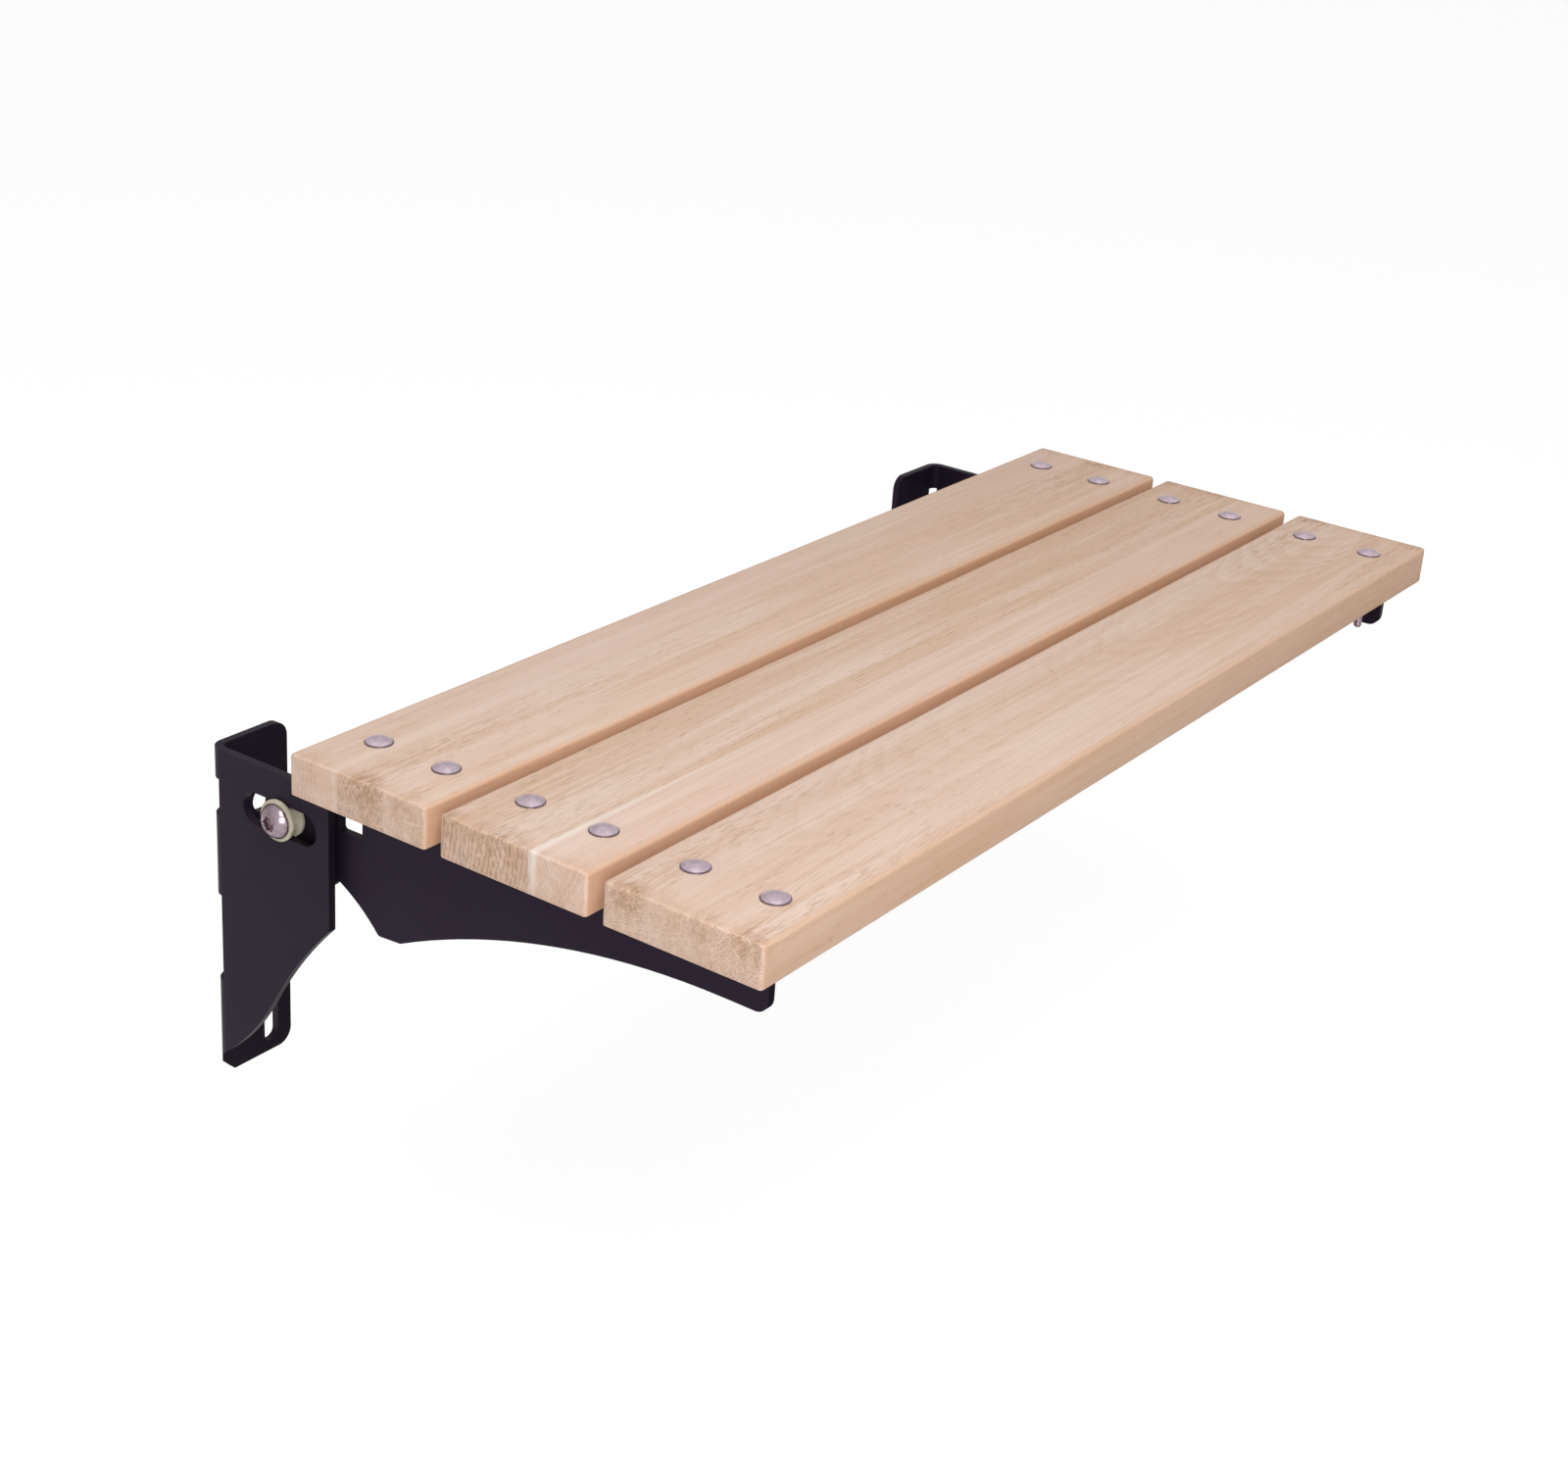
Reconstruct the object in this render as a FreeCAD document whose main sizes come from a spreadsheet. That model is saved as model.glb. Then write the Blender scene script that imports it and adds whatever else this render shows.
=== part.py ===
import FreeCAD, Part
import math
import os

import Sketcher

# Fold down wall seat: three oak slats on two sheet steel arms. The arms swing on screws
# that run in slots in two wall brackets. The origin is on the wall plane, at mid length,
# level with the upper wall slots. X runs along the seat, +Y into the wall, +Z up.
# The left half is modelled and the right half is its mirror image. Sizes are in millimetres.

os.makedirs("parts", exist_ok=True)

Vector = FreeCAD.Vector
document = FreeCAD.newDocument("fold_down_wall_seat")

SIZES = {
    "slat_length": 800,
    "slat_width": 100,
    "slat_thickness": 25,
    "slat_gap": 10,
    "slat_top_radius": 2.5,
    "slat_bottom_radius": 1,
    "slat_end_chamfer": 0.7,
    "seat_to_wall": 86,
    "seat_height": 73.5,
    "bolt_inset": 43,
    "bolt_spacing": 50,
    "bolt_diameter": 6,
    "bolt_length": 55,
    "bolt_head_diameter": 16.5,
    "bolt_head_height": 3.4,
    "bolt_head_rim": 0.5,
    "bolt_neck_depth": 4,
    "bolt_clearance": 0.3,
    "bolt_washer_diameter": 12,
    "bolt_washer_thickness": 1.6,
    "bolt_nut_width": 10,
    "bolt_nut_height": 5,
    "fit_clearance": 0.05,
    "thread_chamfer": 0.6,
    "sheet_thickness": 5,
    "bend_radius": 4.5,
    "bracket_inset": 19,
    "bracket_rise": 45,
    "bracket_height": 216,
    "bracket_depth": 96,
    "bracket_front_height": 85.5,
    "bracket_foot_rise": 10.5,
    "bracket_corner_radius": 2.5,
    "upper_curve_reach": 46,
    "upper_curve_drop": 63,
    "upper_curve_radius": 300,
    "lower_curve_radius": 172,
    "wall_flange_width": 56.5,
    "wall_flange_corner": 10,
    "wall_slot_inset": 40.5,
    "upper_slot_length": 23,
    "upper_slot_width": 16,
    "lower_slot_length": 35,
    "lower_slot_width": 11,
    "lower_slot_rise": 24,
    "window_width": 10.5,
    "window_depth": 8.5,
    "upper_window_drop": 19,
    "upper_window_height": 23,
    "lower_window_rise": 66,
    "lower_window_height": 56.5,
    "pivot_to_wall": 57.5,
    "pivot_height": 17,
    "pivot_slot_length": 58,
    "pivot_slot_height": 20,
    "screw_diameter": 12,
    "screw_length": 35,
    "screw_head_diameter": 21,
    "screw_head_height": 6,
    "screw_head_rim": 1.2,
    "screw_socket_width": 8,
    "screw_socket_depth": 4,
    "screw_clearance": 0.08,
    "running_clearance": 0.3,
    "nylon_washer_diameter": 25,
    "nylon_washer_thickness": 2.4,
    "pivot_washer_diameter": 24,
    "pivot_washer_thickness": 2.5,
    "pivot_nut_width": 18,
    "pivot_nut_height": 12,
    "ear_radius": 20,
    "ear_reach": 39,
    "ear_rise": 27.5,
    "ear_drop": 27.5,
    "ear_corner_radius": 4,
    "heel_setback": 20,
    "notch_width": 17.5,
    "notch_depth": 28,
    "notch_corner_radius": 2,
    "flange_tab_reach": 18,
    "flange_tab_gap": 5,
    "arm_flange_width": 30,
    "arm_flange_corner": 8,
    "arm_front_setback": 14,
    "arm_tip_height": 30.5,
    "arm_tip_radius": 8,
    "arch_front_reach": 28,
    "arch_radius": 500,
    "knee_length": 16.7,
    "knee_rise": 1.2,
    "knee_radius": 3,
    "scoop_setback": 37,
    "scoop_length": 31.8,
    "scoop_drop": 24.5,
    "scoop_radius": 100,
    "stud_diameter": 8,
    "stud_length": 10,
    "stud_setback": 10,
}

sheet = document.addObject("Spreadsheet::Sheet", "Sizes")
for row, (alias, number) in enumerate(SIZES.items(), start=1):
    sheet.set(f"A{row}", alias.replace("_", " "))
    sheet.set(f"B{row}", str(number))
    sheet.setAlias(f"B{row}", alias)
document.recompute()


class Length:
    """A length with its number and the spreadsheet formula that it comes from."""

    def __init__(self, number, formula):
        self.number = number
        self.formula = formula

    def __add__(self, other):
        other = as_length(other)
        return Length(self.number + other.number, f"({self.formula} + {other.formula})")

    def __radd__(self, other):
        return as_length(other) + self

    def __sub__(self, other):
        other = as_length(other)
        return Length(self.number - other.number, f"({self.formula} - {other.formula})")

    def __rsub__(self, other):
        return as_length(other) - self

    def __mul__(self, other):
        other = as_length(other)
        return Length(self.number * other.number, f"({self.formula} * {other.formula})")

    def __rmul__(self, other):
        return as_length(other) * self

    def __truediv__(self, other):
        other = as_length(other)
        return Length(self.number / other.number, f"({self.formula} / {other.formula})")

    def __neg__(self):
        return Length(-self.number, f"(0 - {self.formula})")


def as_length(value):
    """Turns a plain number into a Length, and leaves a Length as it is."""
    if isinstance(value, Length):
        return value
    return Length(float(value), f"({float(value)})")


def size(alias):
    """The spreadsheet size with this alias."""
    return Length(float(sheet.get(alias)), f"Sizes.{alias}")


ZERO = as_length(0)


def origin_feature(body, role):
    """A body's own origin plane or axis, such as XY_Plane."""
    return [feature for feature in body.Origin.OriginFeatures if feature.Role == role][0]


def new_body(label):
    body = document.addObject("PartDesign::Body", label)
    body.Label = label
    return body


def new_sketch(body, name, plane, shift=ZERO, across=ZERO, up=ZERO):
    """A sketch on an origin plane, shifted along the plane's normal and in its own two directions."""
    sketch = body.newObject("Sketcher::SketchObject", f"{body.Name}_{name}")
    sketch.AttachmentSupport = [(origin_feature(body, plane), "")]
    sketch.MapMode = "FlatFace"
    sketch.setExpression("AttachmentOffset.Base.x", across.formula)
    sketch.setExpression("AttachmentOffset.Base.y", up.formula)
    sketch.setExpression("AttachmentOffset.Base.z", shift.formula)
    return sketch


def bind(sketch, kind, elements, length):
    """Adds a constraint and ties its value to the spreadsheet."""
    index = sketch.addConstraint(Sketcher.Constraint(kind, *elements, length.number))
    name = f"{kind}{index}"
    sketch.renameConstraint(index, name)
    sketch.setExpression(f"Constraints.{name}", length.formula)


def place_point(sketch, geometry, end, point):
    """Holds one point of a line, arc or circle at a place measured from the sketch's origin."""
    bind(sketch, "DistanceX", (-1, 1, geometry, end), point[0])
    bind(sketch, "DistanceY", (-1, 1, geometry, end), point[1])


def flat_vector(point):
    return Vector(point[0].number, point[1].number, 0)


def arc_between(start, finish, radius, turns_left):
    """The short arc of this radius from start to finish, as a counterclockwise arc."""
    chord = finish - start
    middle = (start + finish) / 2
    left = Vector(-chord.y, chord.x, 0).normalize()
    offset = math.sqrt(radius ** 2 - (chord.Length / 2) ** 2)
    if not turns_left:
        start, finish = finish, start
        offset = -offset
    center = middle + left * offset
    first = math.atan2(start.y - center.y, start.x - center.x)
    last = math.atan2(finish.y - center.y, finish.x - center.x)
    return Part.ArcOfCircle(Part.Circle(center, Vector(0, 0, 1), radius), first, last)


def add_outline(sketch, points, arcs=None):
    """A closed outline through points. arcs gives, for the edge after a point, its radius and
    whether the outline turns left along it; the other edges are straight."""
    arcs = arcs or {}
    ends = []
    for place, start in enumerate(points):
        finish = points[(place + 1) % len(points)]
        if place in arcs:
            radius, turns_left = arcs[place]
            arc = arc_between(flat_vector(start), flat_vector(finish), radius.number, turns_left)
            edge = sketch.addGeometry(arc, False)
            ends.append((edge, 1, 2) if turns_left else (edge, 2, 1))
        else:
            line = Part.LineSegment(flat_vector(start), flat_vector(finish))
            edge = sketch.addGeometry(line, False)
            ends.append((edge, 1, 2))
    for place, (edge, first, last) in enumerate(ends):
        following, following_first, _ = ends[(place + 1) % len(ends)]
        joint = Sketcher.Constraint("Coincident", edge, last, following, following_first)
        sketch.addConstraint(joint)
        place_point(sketch, edge, first, points[place])
        if place in arcs:
            bind(sketch, "Radius", (edge,), arcs[place][0])


def add_circle(sketch, center, radius):
    circle = Part.Circle(flat_vector(center), Vector(0, 0, 1), radius.number)
    edge = sketch.addGeometry(circle, False)
    place_point(sketch, edge, 3, center)
    bind(sketch, "Radius", (edge,), radius)


def add_rectangle(sketch, low, high):
    add_outline(sketch, [low, (high[0], low[1]), high, (low[0], high[1])])


def add_hexagon(sketch, center, width):
    """A hexagon with its flats this far apart and two of them upright."""
    half_flat = width / 2
    half_side = width / (2 * math.sqrt(3))
    side = width / math.sqrt(3)
    offsets = [
        (half_flat, half_side),
        (ZERO, side),
        (-half_flat, half_side),
        (-half_flat, -half_side),
        (ZERO, -side),
        (half_flat, -half_side),
    ]
    add_outline(sketch, [(center[0] + along, center[1] + up) for along, up in offsets])


def add_slot(sketch, center, length, width, upright=False):
    """A slot with round ends: two half circles joined by tangent lines."""
    radius = width / 2
    reach = (length - width) / 2
    quarter = math.pi / 2
    turn = quarter if upright else 0.0
    arcs = []
    for sign in (1, -1):
        along = (ZERO, sign * reach) if upright else (sign * reach, ZERO)
        end_center = (center[0] + along[0], center[1] + along[1])
        middle_angle = turn if sign > 0 else turn + math.pi
        circle = Part.Circle(flat_vector(end_center), Vector(0, 0, 1), radius.number)
        arc = Part.ArcOfCircle(circle, middle_angle - quarter, middle_angle + quarter)
        edge = sketch.addGeometry(arc, False)
        place_point(sketch, edge, 3, end_center)
        arcs.append((edge, arc))
    for (edge, arc), (next_edge, next_arc) in (arcs, arcs[::-1]):
        line = sketch.addGeometry(Part.LineSegment(arc.EndPoint, next_arc.StartPoint), False)
        sketch.addConstraint(Sketcher.Constraint("Tangent", edge, 2, line, 1))
        sketch.addConstraint(Sketcher.Constraint("Tangent", line, 2, next_edge, 1))
    sketch.addConstraint(Sketcher.Constraint("Equal", arcs[0][0], arcs[1][0]))
    bind(sketch, "Radius", (arcs[0][0],), radius)


def pad(body, sketch, length):
    """Thickens a sketch along its normal."""
    feature = body.newObject("PartDesign::Pad", f"{sketch.Name}_pad")
    feature.Profile = sketch
    feature.setExpression("Length", length.formula)
    document.recompute()
    return feature


def check_smaller(feature, before):
    """Stops the build if a cut took nothing away."""
    if not feature.Shape.Volume < before - 1e-6:
        raise RuntimeError(f"{feature.Name} cuts nothing")


def pocket(body, sketch, depth):
    """Cuts a sketch away along its normal."""
    before = body.Shape.Volume
    feature = body.newObject("PartDesign::Pocket", f"{sketch.Name}_pocket")
    feature.Profile = sketch
    feature.Reversed = True
    feature.setExpression("Length", depth.formula)
    document.recompute()
    check_smaller(feature, before)
    return feature


def revolve(body, sketch, axis):
    """Turns a sketch once round one of its own axes, H_Axis or V_Axis."""
    feature = body.newObject("PartDesign::Revolution", f"{sketch.Name}_turned")
    feature.Profile = sketch
    feature.ReferenceAxis = (sketch, [axis])
    feature.Angle = 360
    document.recompute()
    return feature


def groove(body, sketch, axis):
    """Turns a cut once round one of its sketch's own axes."""
    before = body.Shape.Volume
    feature = body.newObject("PartDesign::Groove", f"{sketch.Name}_groove")
    feature.Profile = sketch
    feature.ReferenceAxis = (sketch, [axis])
    feature.Angle = 360
    document.recompute()
    check_smaller(feature, before)
    return feature


def edges_on(shape, x=None, y=None, z=None):
    """The names of the edges whose every point has the given coordinates."""
    wanted = [("XMin", "XMax", x), ("YMin", "YMax", y), ("ZMin", "ZMax", z)]
    names = []
    for number, edge in enumerate(shape.Edges, start=1):
        box = edge.BoundBox
        matches = True
        for low, high, place in wanted:
            if place is not None:
                near_low = abs(getattr(box, low) - place.number) < 1e-3
                near_high = abs(getattr(box, high) - place.number) < 1e-3
                matches = matches and near_low and near_high
        if matches:
            names.append(f"Edge{number}")
    if not names:
        raise RuntimeError("no edge lies there")
    return names


def soften(body, kind, amount, edges):
    """Rounds or chamfers the named edges of a body's last feature."""
    base = body.Tip
    feature = body.newObject(f"PartDesign::{kind}", f"{body.Name}_{kind}{len(body.Group)}")
    feature.Base = (base, edges)
    feature.setExpression("Radius" if kind == "Fillet" else "Size", amount.formula)
    document.recompute()
    return feature


def repeat(body, originals, steps):
    """Repeats features along X, or along X and Y. steps gives the distance to the copy."""
    feature = body.newObject("PartDesign::LinearPattern", f"{body.Name}_pattern")
    if originals:
        feature.Originals = originals
    else:
        feature.TransformMode = "Whole shape"
    feature.Direction = (origin_feature(body, "X_Axis"), [""])
    feature.setExpression("Length", steps[0].formula)
    feature.Occurrences = 2
    feature.Direction2 = (origin_feature(body, "Y_Axis"), [""])
    feature.setExpression("Length2", steps[1].formula)
    feature.Occurrences2 = 2
    body.Tip = feature
    document.recompute()
    return feature


# Places worked out from the sizes

thickness = size("sheet_thickness")
outer_bend = size("bend_radius") + thickness
slat_end = -(size("slat_length") / 2)
plate_outer = slat_end + size("bracket_inset")
plate_inner = plate_outer + thickness
running = size("running_clearance")
inner_washer_outer = plate_inner + running
inner_washer_inner = inner_washer_outer + size("nylon_washer_thickness")
web_outer = inner_washer_inner + running
web_inner = web_outer + thickness
outer_washer_inner = plate_outer - running
outer_washer_outer = outer_washer_inner - size("nylon_washer_thickness")
pivot_washer_start = web_inner + running
pivot_nut_start = pivot_washer_start + size("pivot_washer_thickness")

slat_bottom = size("seat_height") - size("slat_thickness")
arm_flange_bottom = slat_bottom - thickness
seat_rear = -size("seat_to_wall")
slat_pitch = size("slat_width") + size("slat_gap")
seat_front = seat_rear - 2 * slat_pitch - size("slat_width")

pivot_y = -size("pivot_to_wall")
pivot_z = size("pivot_height")
PIVOT = (pivot_y, pivot_z)

bolt_x = slat_end + size("bolt_inset")
bolt_margin = (size("slat_width") - size("bolt_spacing")) / 2
bolt_radius = size("bolt_diameter") / 2
bolt_hole_radius = bolt_radius + size("bolt_clearance")

plate_top = size("bracket_rise")
plate_bottom = plate_top - size("bracket_height")
plate_front = -size("bracket_depth")

ear_front = pivot_y - size("ear_reach")
ear_bottom = pivot_z - size("ear_drop")
ear_top = pivot_z + size("ear_rise")
notch_front = ear_front - size("notch_width")
notch_bottom = slat_bottom - size("notch_depth")
arm_front = seat_front + size("arm_front_setback")


def make_slat(label, rear):
    """One oak slat with round long edges, eased ends and holes for four carriage bolts."""
    body = new_body(label)
    front = rear - size("slat_width")
    top = size("seat_height")
    top_radius = size("slat_top_radius")
    bottom_radius = size("slat_bottom_radius")
    section = new_sketch(body, "section", "YZ_Plane", shift=slat_end)
    points = [
        (front + bottom_radius, slat_bottom),
        (rear - bottom_radius, slat_bottom),
        (rear, slat_bottom + bottom_radius),
        (rear, top - top_radius),
        (rear - top_radius, top),
        (front + top_radius, top),
        (front, top - top_radius),
        (front, slat_bottom + bottom_radius),
    ]
    corners = {
        1: (bottom_radius, True),
        3: (top_radius, True),
        5: (top_radius, True),
        7: (bottom_radius, True),
    }
    add_outline(section, points, corners)
    board = pad(body, section, size("slat_length"))
    ends = edges_on(board.Shape, x=slat_end) + edges_on(board.Shape, x=-slat_end)
    soften(body, "Chamfer", size("slat_end_chamfer"), ends)
    center = (bolt_x, front + bolt_margin)
    hole_sketch = new_sketch(body, "hole", "XY_Plane", shift=slat_bottom)
    add_circle(hole_sketch, center, bolt_hole_radius)
    hole = pocket(body, hole_sketch, size("slat_thickness"))
    neck_sketch = new_sketch(body, "neck", "XY_Plane", shift=top - size("bolt_neck_depth"))
    half_neck = bolt_radius + size("fit_clearance")
    low = (center[0] - half_neck, center[1] - half_neck)
    high = (center[0] + half_neck, center[1] + half_neck)
    add_rectangle(neck_sketch, low, high)
    neck = pocket(body, neck_sketch, size("bolt_neck_depth"))
    repeat(body, [hole, neck], (-2 * bolt_x, size("bolt_spacing")))
    return body


def make_slat_bolts(label, front):
    """Four carriage bolts: a low domed head, a square neck sunk in the oak and a long shank."""
    body = new_body(label)
    top = size("seat_height")
    center_y = front + bolt_margin
    head_radius = size("bolt_head_diameter") / 2
    head_top = top + size("bolt_head_height")
    rim_top = top + size("bolt_head_rim")
    dome_rise = size("bolt_head_height") - size("bolt_head_rim")
    dome_radius = (dome_rise * dome_rise + head_radius * head_radius) / (2 * dome_rise)
    tip = top - size("bolt_length")
    chamfer = size("thread_chamfer")
    profile = new_sketch(body, "profile", "XZ_Plane", shift=-center_y, across=bolt_x)
    points = [
        (ZERO, head_top),
        (ZERO, tip),
        (bolt_radius - chamfer, tip),
        (bolt_radius, tip + chamfer),
        (bolt_radius, top),
        (head_radius, top),
        (head_radius, rim_top),
    ]
    add_outline(profile, points, {6: (dome_radius, True)})
    revolve(body, profile, "V_Axis")
    neck_sketch = new_sketch(body, "neck", "XY_Plane", shift=top - size("bolt_neck_depth"))
    low = (bolt_x - bolt_radius, center_y - bolt_radius)
    high = (bolt_x + bolt_radius, center_y + bolt_radius)
    add_rectangle(neck_sketch, low, high)
    pad(body, neck_sketch, size("bolt_neck_depth"))
    repeat(body, [], (-2 * bolt_x, size("bolt_spacing")))
    return body


def make_slat_washers(label, front):
    """Four plain washers under the arms' flanges."""
    body = new_body(label)
    bottom = arm_flange_bottom - size("bolt_washer_thickness")
    center = (bolt_x, front + bolt_margin)
    ring = new_sketch(body, "ring", "XY_Plane", shift=bottom)
    add_circle(ring, center, size("bolt_washer_diameter") / 2)
    add_circle(ring, center, bolt_hole_radius)
    pad(body, ring, size("bolt_washer_thickness"))
    repeat(body, [], (-2 * bolt_x, size("bolt_spacing")))
    return body


def nut_chamfer_points(near, far, width):
    """Triangle that takes the corners off a nut's far end, in distance along its axis and out."""
    flat = width / 2
    corner = width / math.sqrt(3)
    slope = (corner - flat) / 2
    outside = corner + slope
    direction = 1 if far.number > near.number else -1
    return [(far, flat), (far, outside), (far - direction * 2 * slope, outside)]


def make_slat_nuts(label, front):
    """Four hexagon nuts below the washers, with their lower corners taken off."""
    body = new_body(label)
    top = arm_flange_bottom - size("bolt_washer_thickness")
    bottom = top - size("bolt_nut_height")
    center = (bolt_x, front + bolt_margin)
    hexagon = new_sketch(body, "hexagon", "XY_Plane", shift=bottom)
    add_hexagon(hexagon, center, size("bolt_nut_width"))
    add_circle(hexagon, center, bolt_radius + size("fit_clearance"))
    pad(body, hexagon, size("bolt_nut_height"))
    corner_sketch = new_sketch(body, "corners", "XZ_Plane", shift=-center[1], across=bolt_x)
    points = nut_chamfer_points(top, bottom, size("bolt_nut_width"))
    add_outline(corner_sketch, [(out, along) for along, out in points])
    groove(body, corner_sketch, "V_Axis")
    repeat(body, [], (-2 * bolt_x, size("bolt_spacing")))
    return body


def make_wall_bracket(label):
    """The bent wall bracket: a side plate with a curved lower edge and the pivot's slot, and a
    wall flange with an upright and a level slot. Two windows lighten the bend between them."""
    body = new_body(label)
    foot = plate_bottom + size("bracket_foot_rise")
    front_bottom = plate_top - size("bracket_front_height")
    join = (plate_front + size("upper_curve_reach"), front_bottom - size("upper_curve_drop"))
    side = new_sketch(body, "side", "YZ_Plane", shift=plate_outer)
    points = [
        (ZERO, plate_top),
        (plate_front, plate_top),
        (plate_front, front_bottom),
        join,
        (ZERO, foot),
    ]
    curves = {
        2: (size("upper_curve_radius"), False),
        3: (size("lower_curve_radius"), True),
    }
    add_outline(side, points, curves)
    pad(body, side, thickness)

    flange = new_sketch(body, "flange", "XZ_Plane")
    flange_end = plate_outer + size("wall_flange_width")
    points = [
        (plate_outer, foot),
        (plate_outer + size("bracket_foot_rise"), plate_bottom),
        (flange_end, plate_bottom),
        (flange_end, plate_top),
        (plate_outer, plate_top),
    ]
    add_outline(flange, points)
    shell = pad(body, flange, thickness)
    soften(body, "Fillet", outer_bend, edges_on(shell.Shape, x=plate_outer, y=ZERO))
    soften(body, "Fillet", size("bend_radius"), edges_on(body.Shape, x=plate_inner, y=-thickness))
    inner_corners = edges_on(body.Shape, x=flange_end, z=plate_top)
    inner_corners += edges_on(body.Shape, x=flange_end, z=plate_bottom)
    soften(body, "Fillet", size("wall_flange_corner"), inner_corners)
    front_corner = edges_on(body.Shape, y=plate_front, z=plate_top)
    soften(body, "Fillet", size("bracket_corner_radius"), front_corner)

    pivot_slot = new_sketch(body, "pivot_slot", "YZ_Plane", shift=plate_outer)
    add_slot(pivot_slot, PIVOT, size("pivot_slot_length"), size("pivot_slot_height"))
    pocket(body, pivot_slot, thickness)

    wall_slots = new_sketch(body, "wall_slots", "XZ_Plane")
    slot_x = plate_outer + size("wall_slot_inset")
    add_slot(wall_slots, (slot_x, ZERO), size("upper_slot_length"), size("upper_slot_width"))
    lower_center = (slot_x, plate_bottom + size("lower_slot_rise"))
    lower_width = size("lower_slot_width")
    add_slot(wall_slots, lower_center, size("lower_slot_length"), lower_width, upright=True)
    pocket(body, wall_slots, thickness)

    windows = new_sketch(body, "windows", "XZ_Plane")
    upper_top = plate_top - size("upper_window_drop")
    lower_bottom = plate_bottom + size("lower_window_rise")
    spans = [
        (upper_top - size("upper_window_height"), upper_top),
        (lower_bottom, lower_bottom + size("lower_window_height")),
    ]
    for bottom, top in spans:
        low = (plate_outer - outer_bend, bottom)
        add_rectangle(windows, low, (plate_outer + size("window_width"), top))
    pocket(body, windows, size("window_depth"))
    return body


def make_seat_arm(label):
    """The bent seat arm: a web with a round ear at the pivot, a heel over the stop stud, a scoop
    and a long arch in its lower edge, and a flange under the slats. A tab of the flange reaches
    past the notch to the last bolt."""
    body = new_body(label)
    tip_bottom = slat_bottom - size("arm_tip_height")
    arch_front = arm_front + size("arch_front_reach")
    scoop_rear = (pivot_y - size("scoop_setback"), ear_bottom)
    knee_rear = (scoop_rear[0] - size("scoop_length"), ear_bottom - size("scoop_drop"))
    knee_front = (knee_rear[0] - size("knee_length"), knee_rear[1] + size("knee_rise"))
    ear_radius = size("ear_radius")
    web = new_sketch(body, "web", "YZ_Plane", shift=web_outer)
    points = [
        (arm_front, slat_bottom),
        (arm_front, tip_bottom),
        (arch_front, tip_bottom),
        knee_front,
        knee_rear,
        scoop_rear,
        (pivot_y - size("heel_setback"), ear_bottom),
        (pivot_y, pivot_z - ear_radius),
        (pivot_y + ear_radius, pivot_z),
        (pivot_y, pivot_z + ear_radius),
        (ear_front, ear_top),
        (ear_front, notch_bottom),
        (notch_front, notch_bottom),
        (notch_front, slat_bottom),
    ]
    curves = {
        2: (size("arch_radius"), False),
        4: (size("scoop_radius"), False),
        7: (ear_radius, True),
        8: (ear_radius, True),
    }
    add_outline(web, points, curves)
    pad(body, web, thickness)

    flange = new_sketch(body, "flange", "XY_Plane", shift=arm_flange_bottom)
    flange_end = web_outer + size("arm_flange_width")
    tab_side = web_inner + size("flange_tab_gap")
    tab_rear = notch_front + size("flange_tab_reach")
    points = [
        (web_outer, arm_front),
        (flange_end, arm_front),
        (flange_end, tab_rear),
        (tab_side, tab_rear),
        (tab_side, notch_front),
        (web_outer, notch_front),
    ]
    add_outline(flange, points)
    shell = pad(body, flange, thickness)
    soften(body, "Fillet", outer_bend, edges_on(shell.Shape, x=web_outer, z=slat_bottom))
    soften(body, "Fillet", size("bend_radius"), edges_on(body.Shape, x=web_inner, z=arm_flange_bottom))
    flange_corners = edges_on(body.Shape, x=flange_end, y=arm_front)
    flange_corners += edges_on(body.Shape, x=flange_end, y=tab_rear)
    soften(body, "Fillet", size("arm_flange_corner"), flange_corners)
    soften(body, "Fillet", size("arm_tip_radius"), edges_on(body.Shape, y=arm_front, z=tip_bottom))
    soften(body, "Fillet", size("ear_corner_radius"), edges_on(body.Shape, y=ear_front, z=ear_top))
    notch_corners = edges_on(body.Shape, y=ear_front, z=notch_bottom)
    notch_corners += edges_on(body.Shape, y=notch_front, z=notch_bottom)
    soften(body, "Fillet", size("notch_corner_radius"), notch_corners)
    soften(body, "Fillet", size("knee_radius"), edges_on(body.Shape, y=knee_rear[0], z=knee_rear[1]))

    pivot_hole = new_sketch(body, "pivot_hole", "YZ_Plane", shift=web_outer)
    add_circle(pivot_hole, PIVOT, size("screw_diameter") / 2 + size("screw_clearance"))
    pocket(body, pivot_hole, thickness)

    bolt_holes = new_sketch(body, "bolt_holes", "XY_Plane", shift=arm_flange_bottom)
    for slat in range(3):
        front = seat_rear - slat * slat_pitch - size("slat_width")
        add_circle(bolt_holes, (bolt_x, front + bolt_margin), bolt_hole_radius)
        add_circle(bolt_holes, (bolt_x, front + bolt_margin + size("bolt_spacing")), bolt_hole_radius)
    pocket(body, bolt_holes, thickness)
    return body


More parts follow.
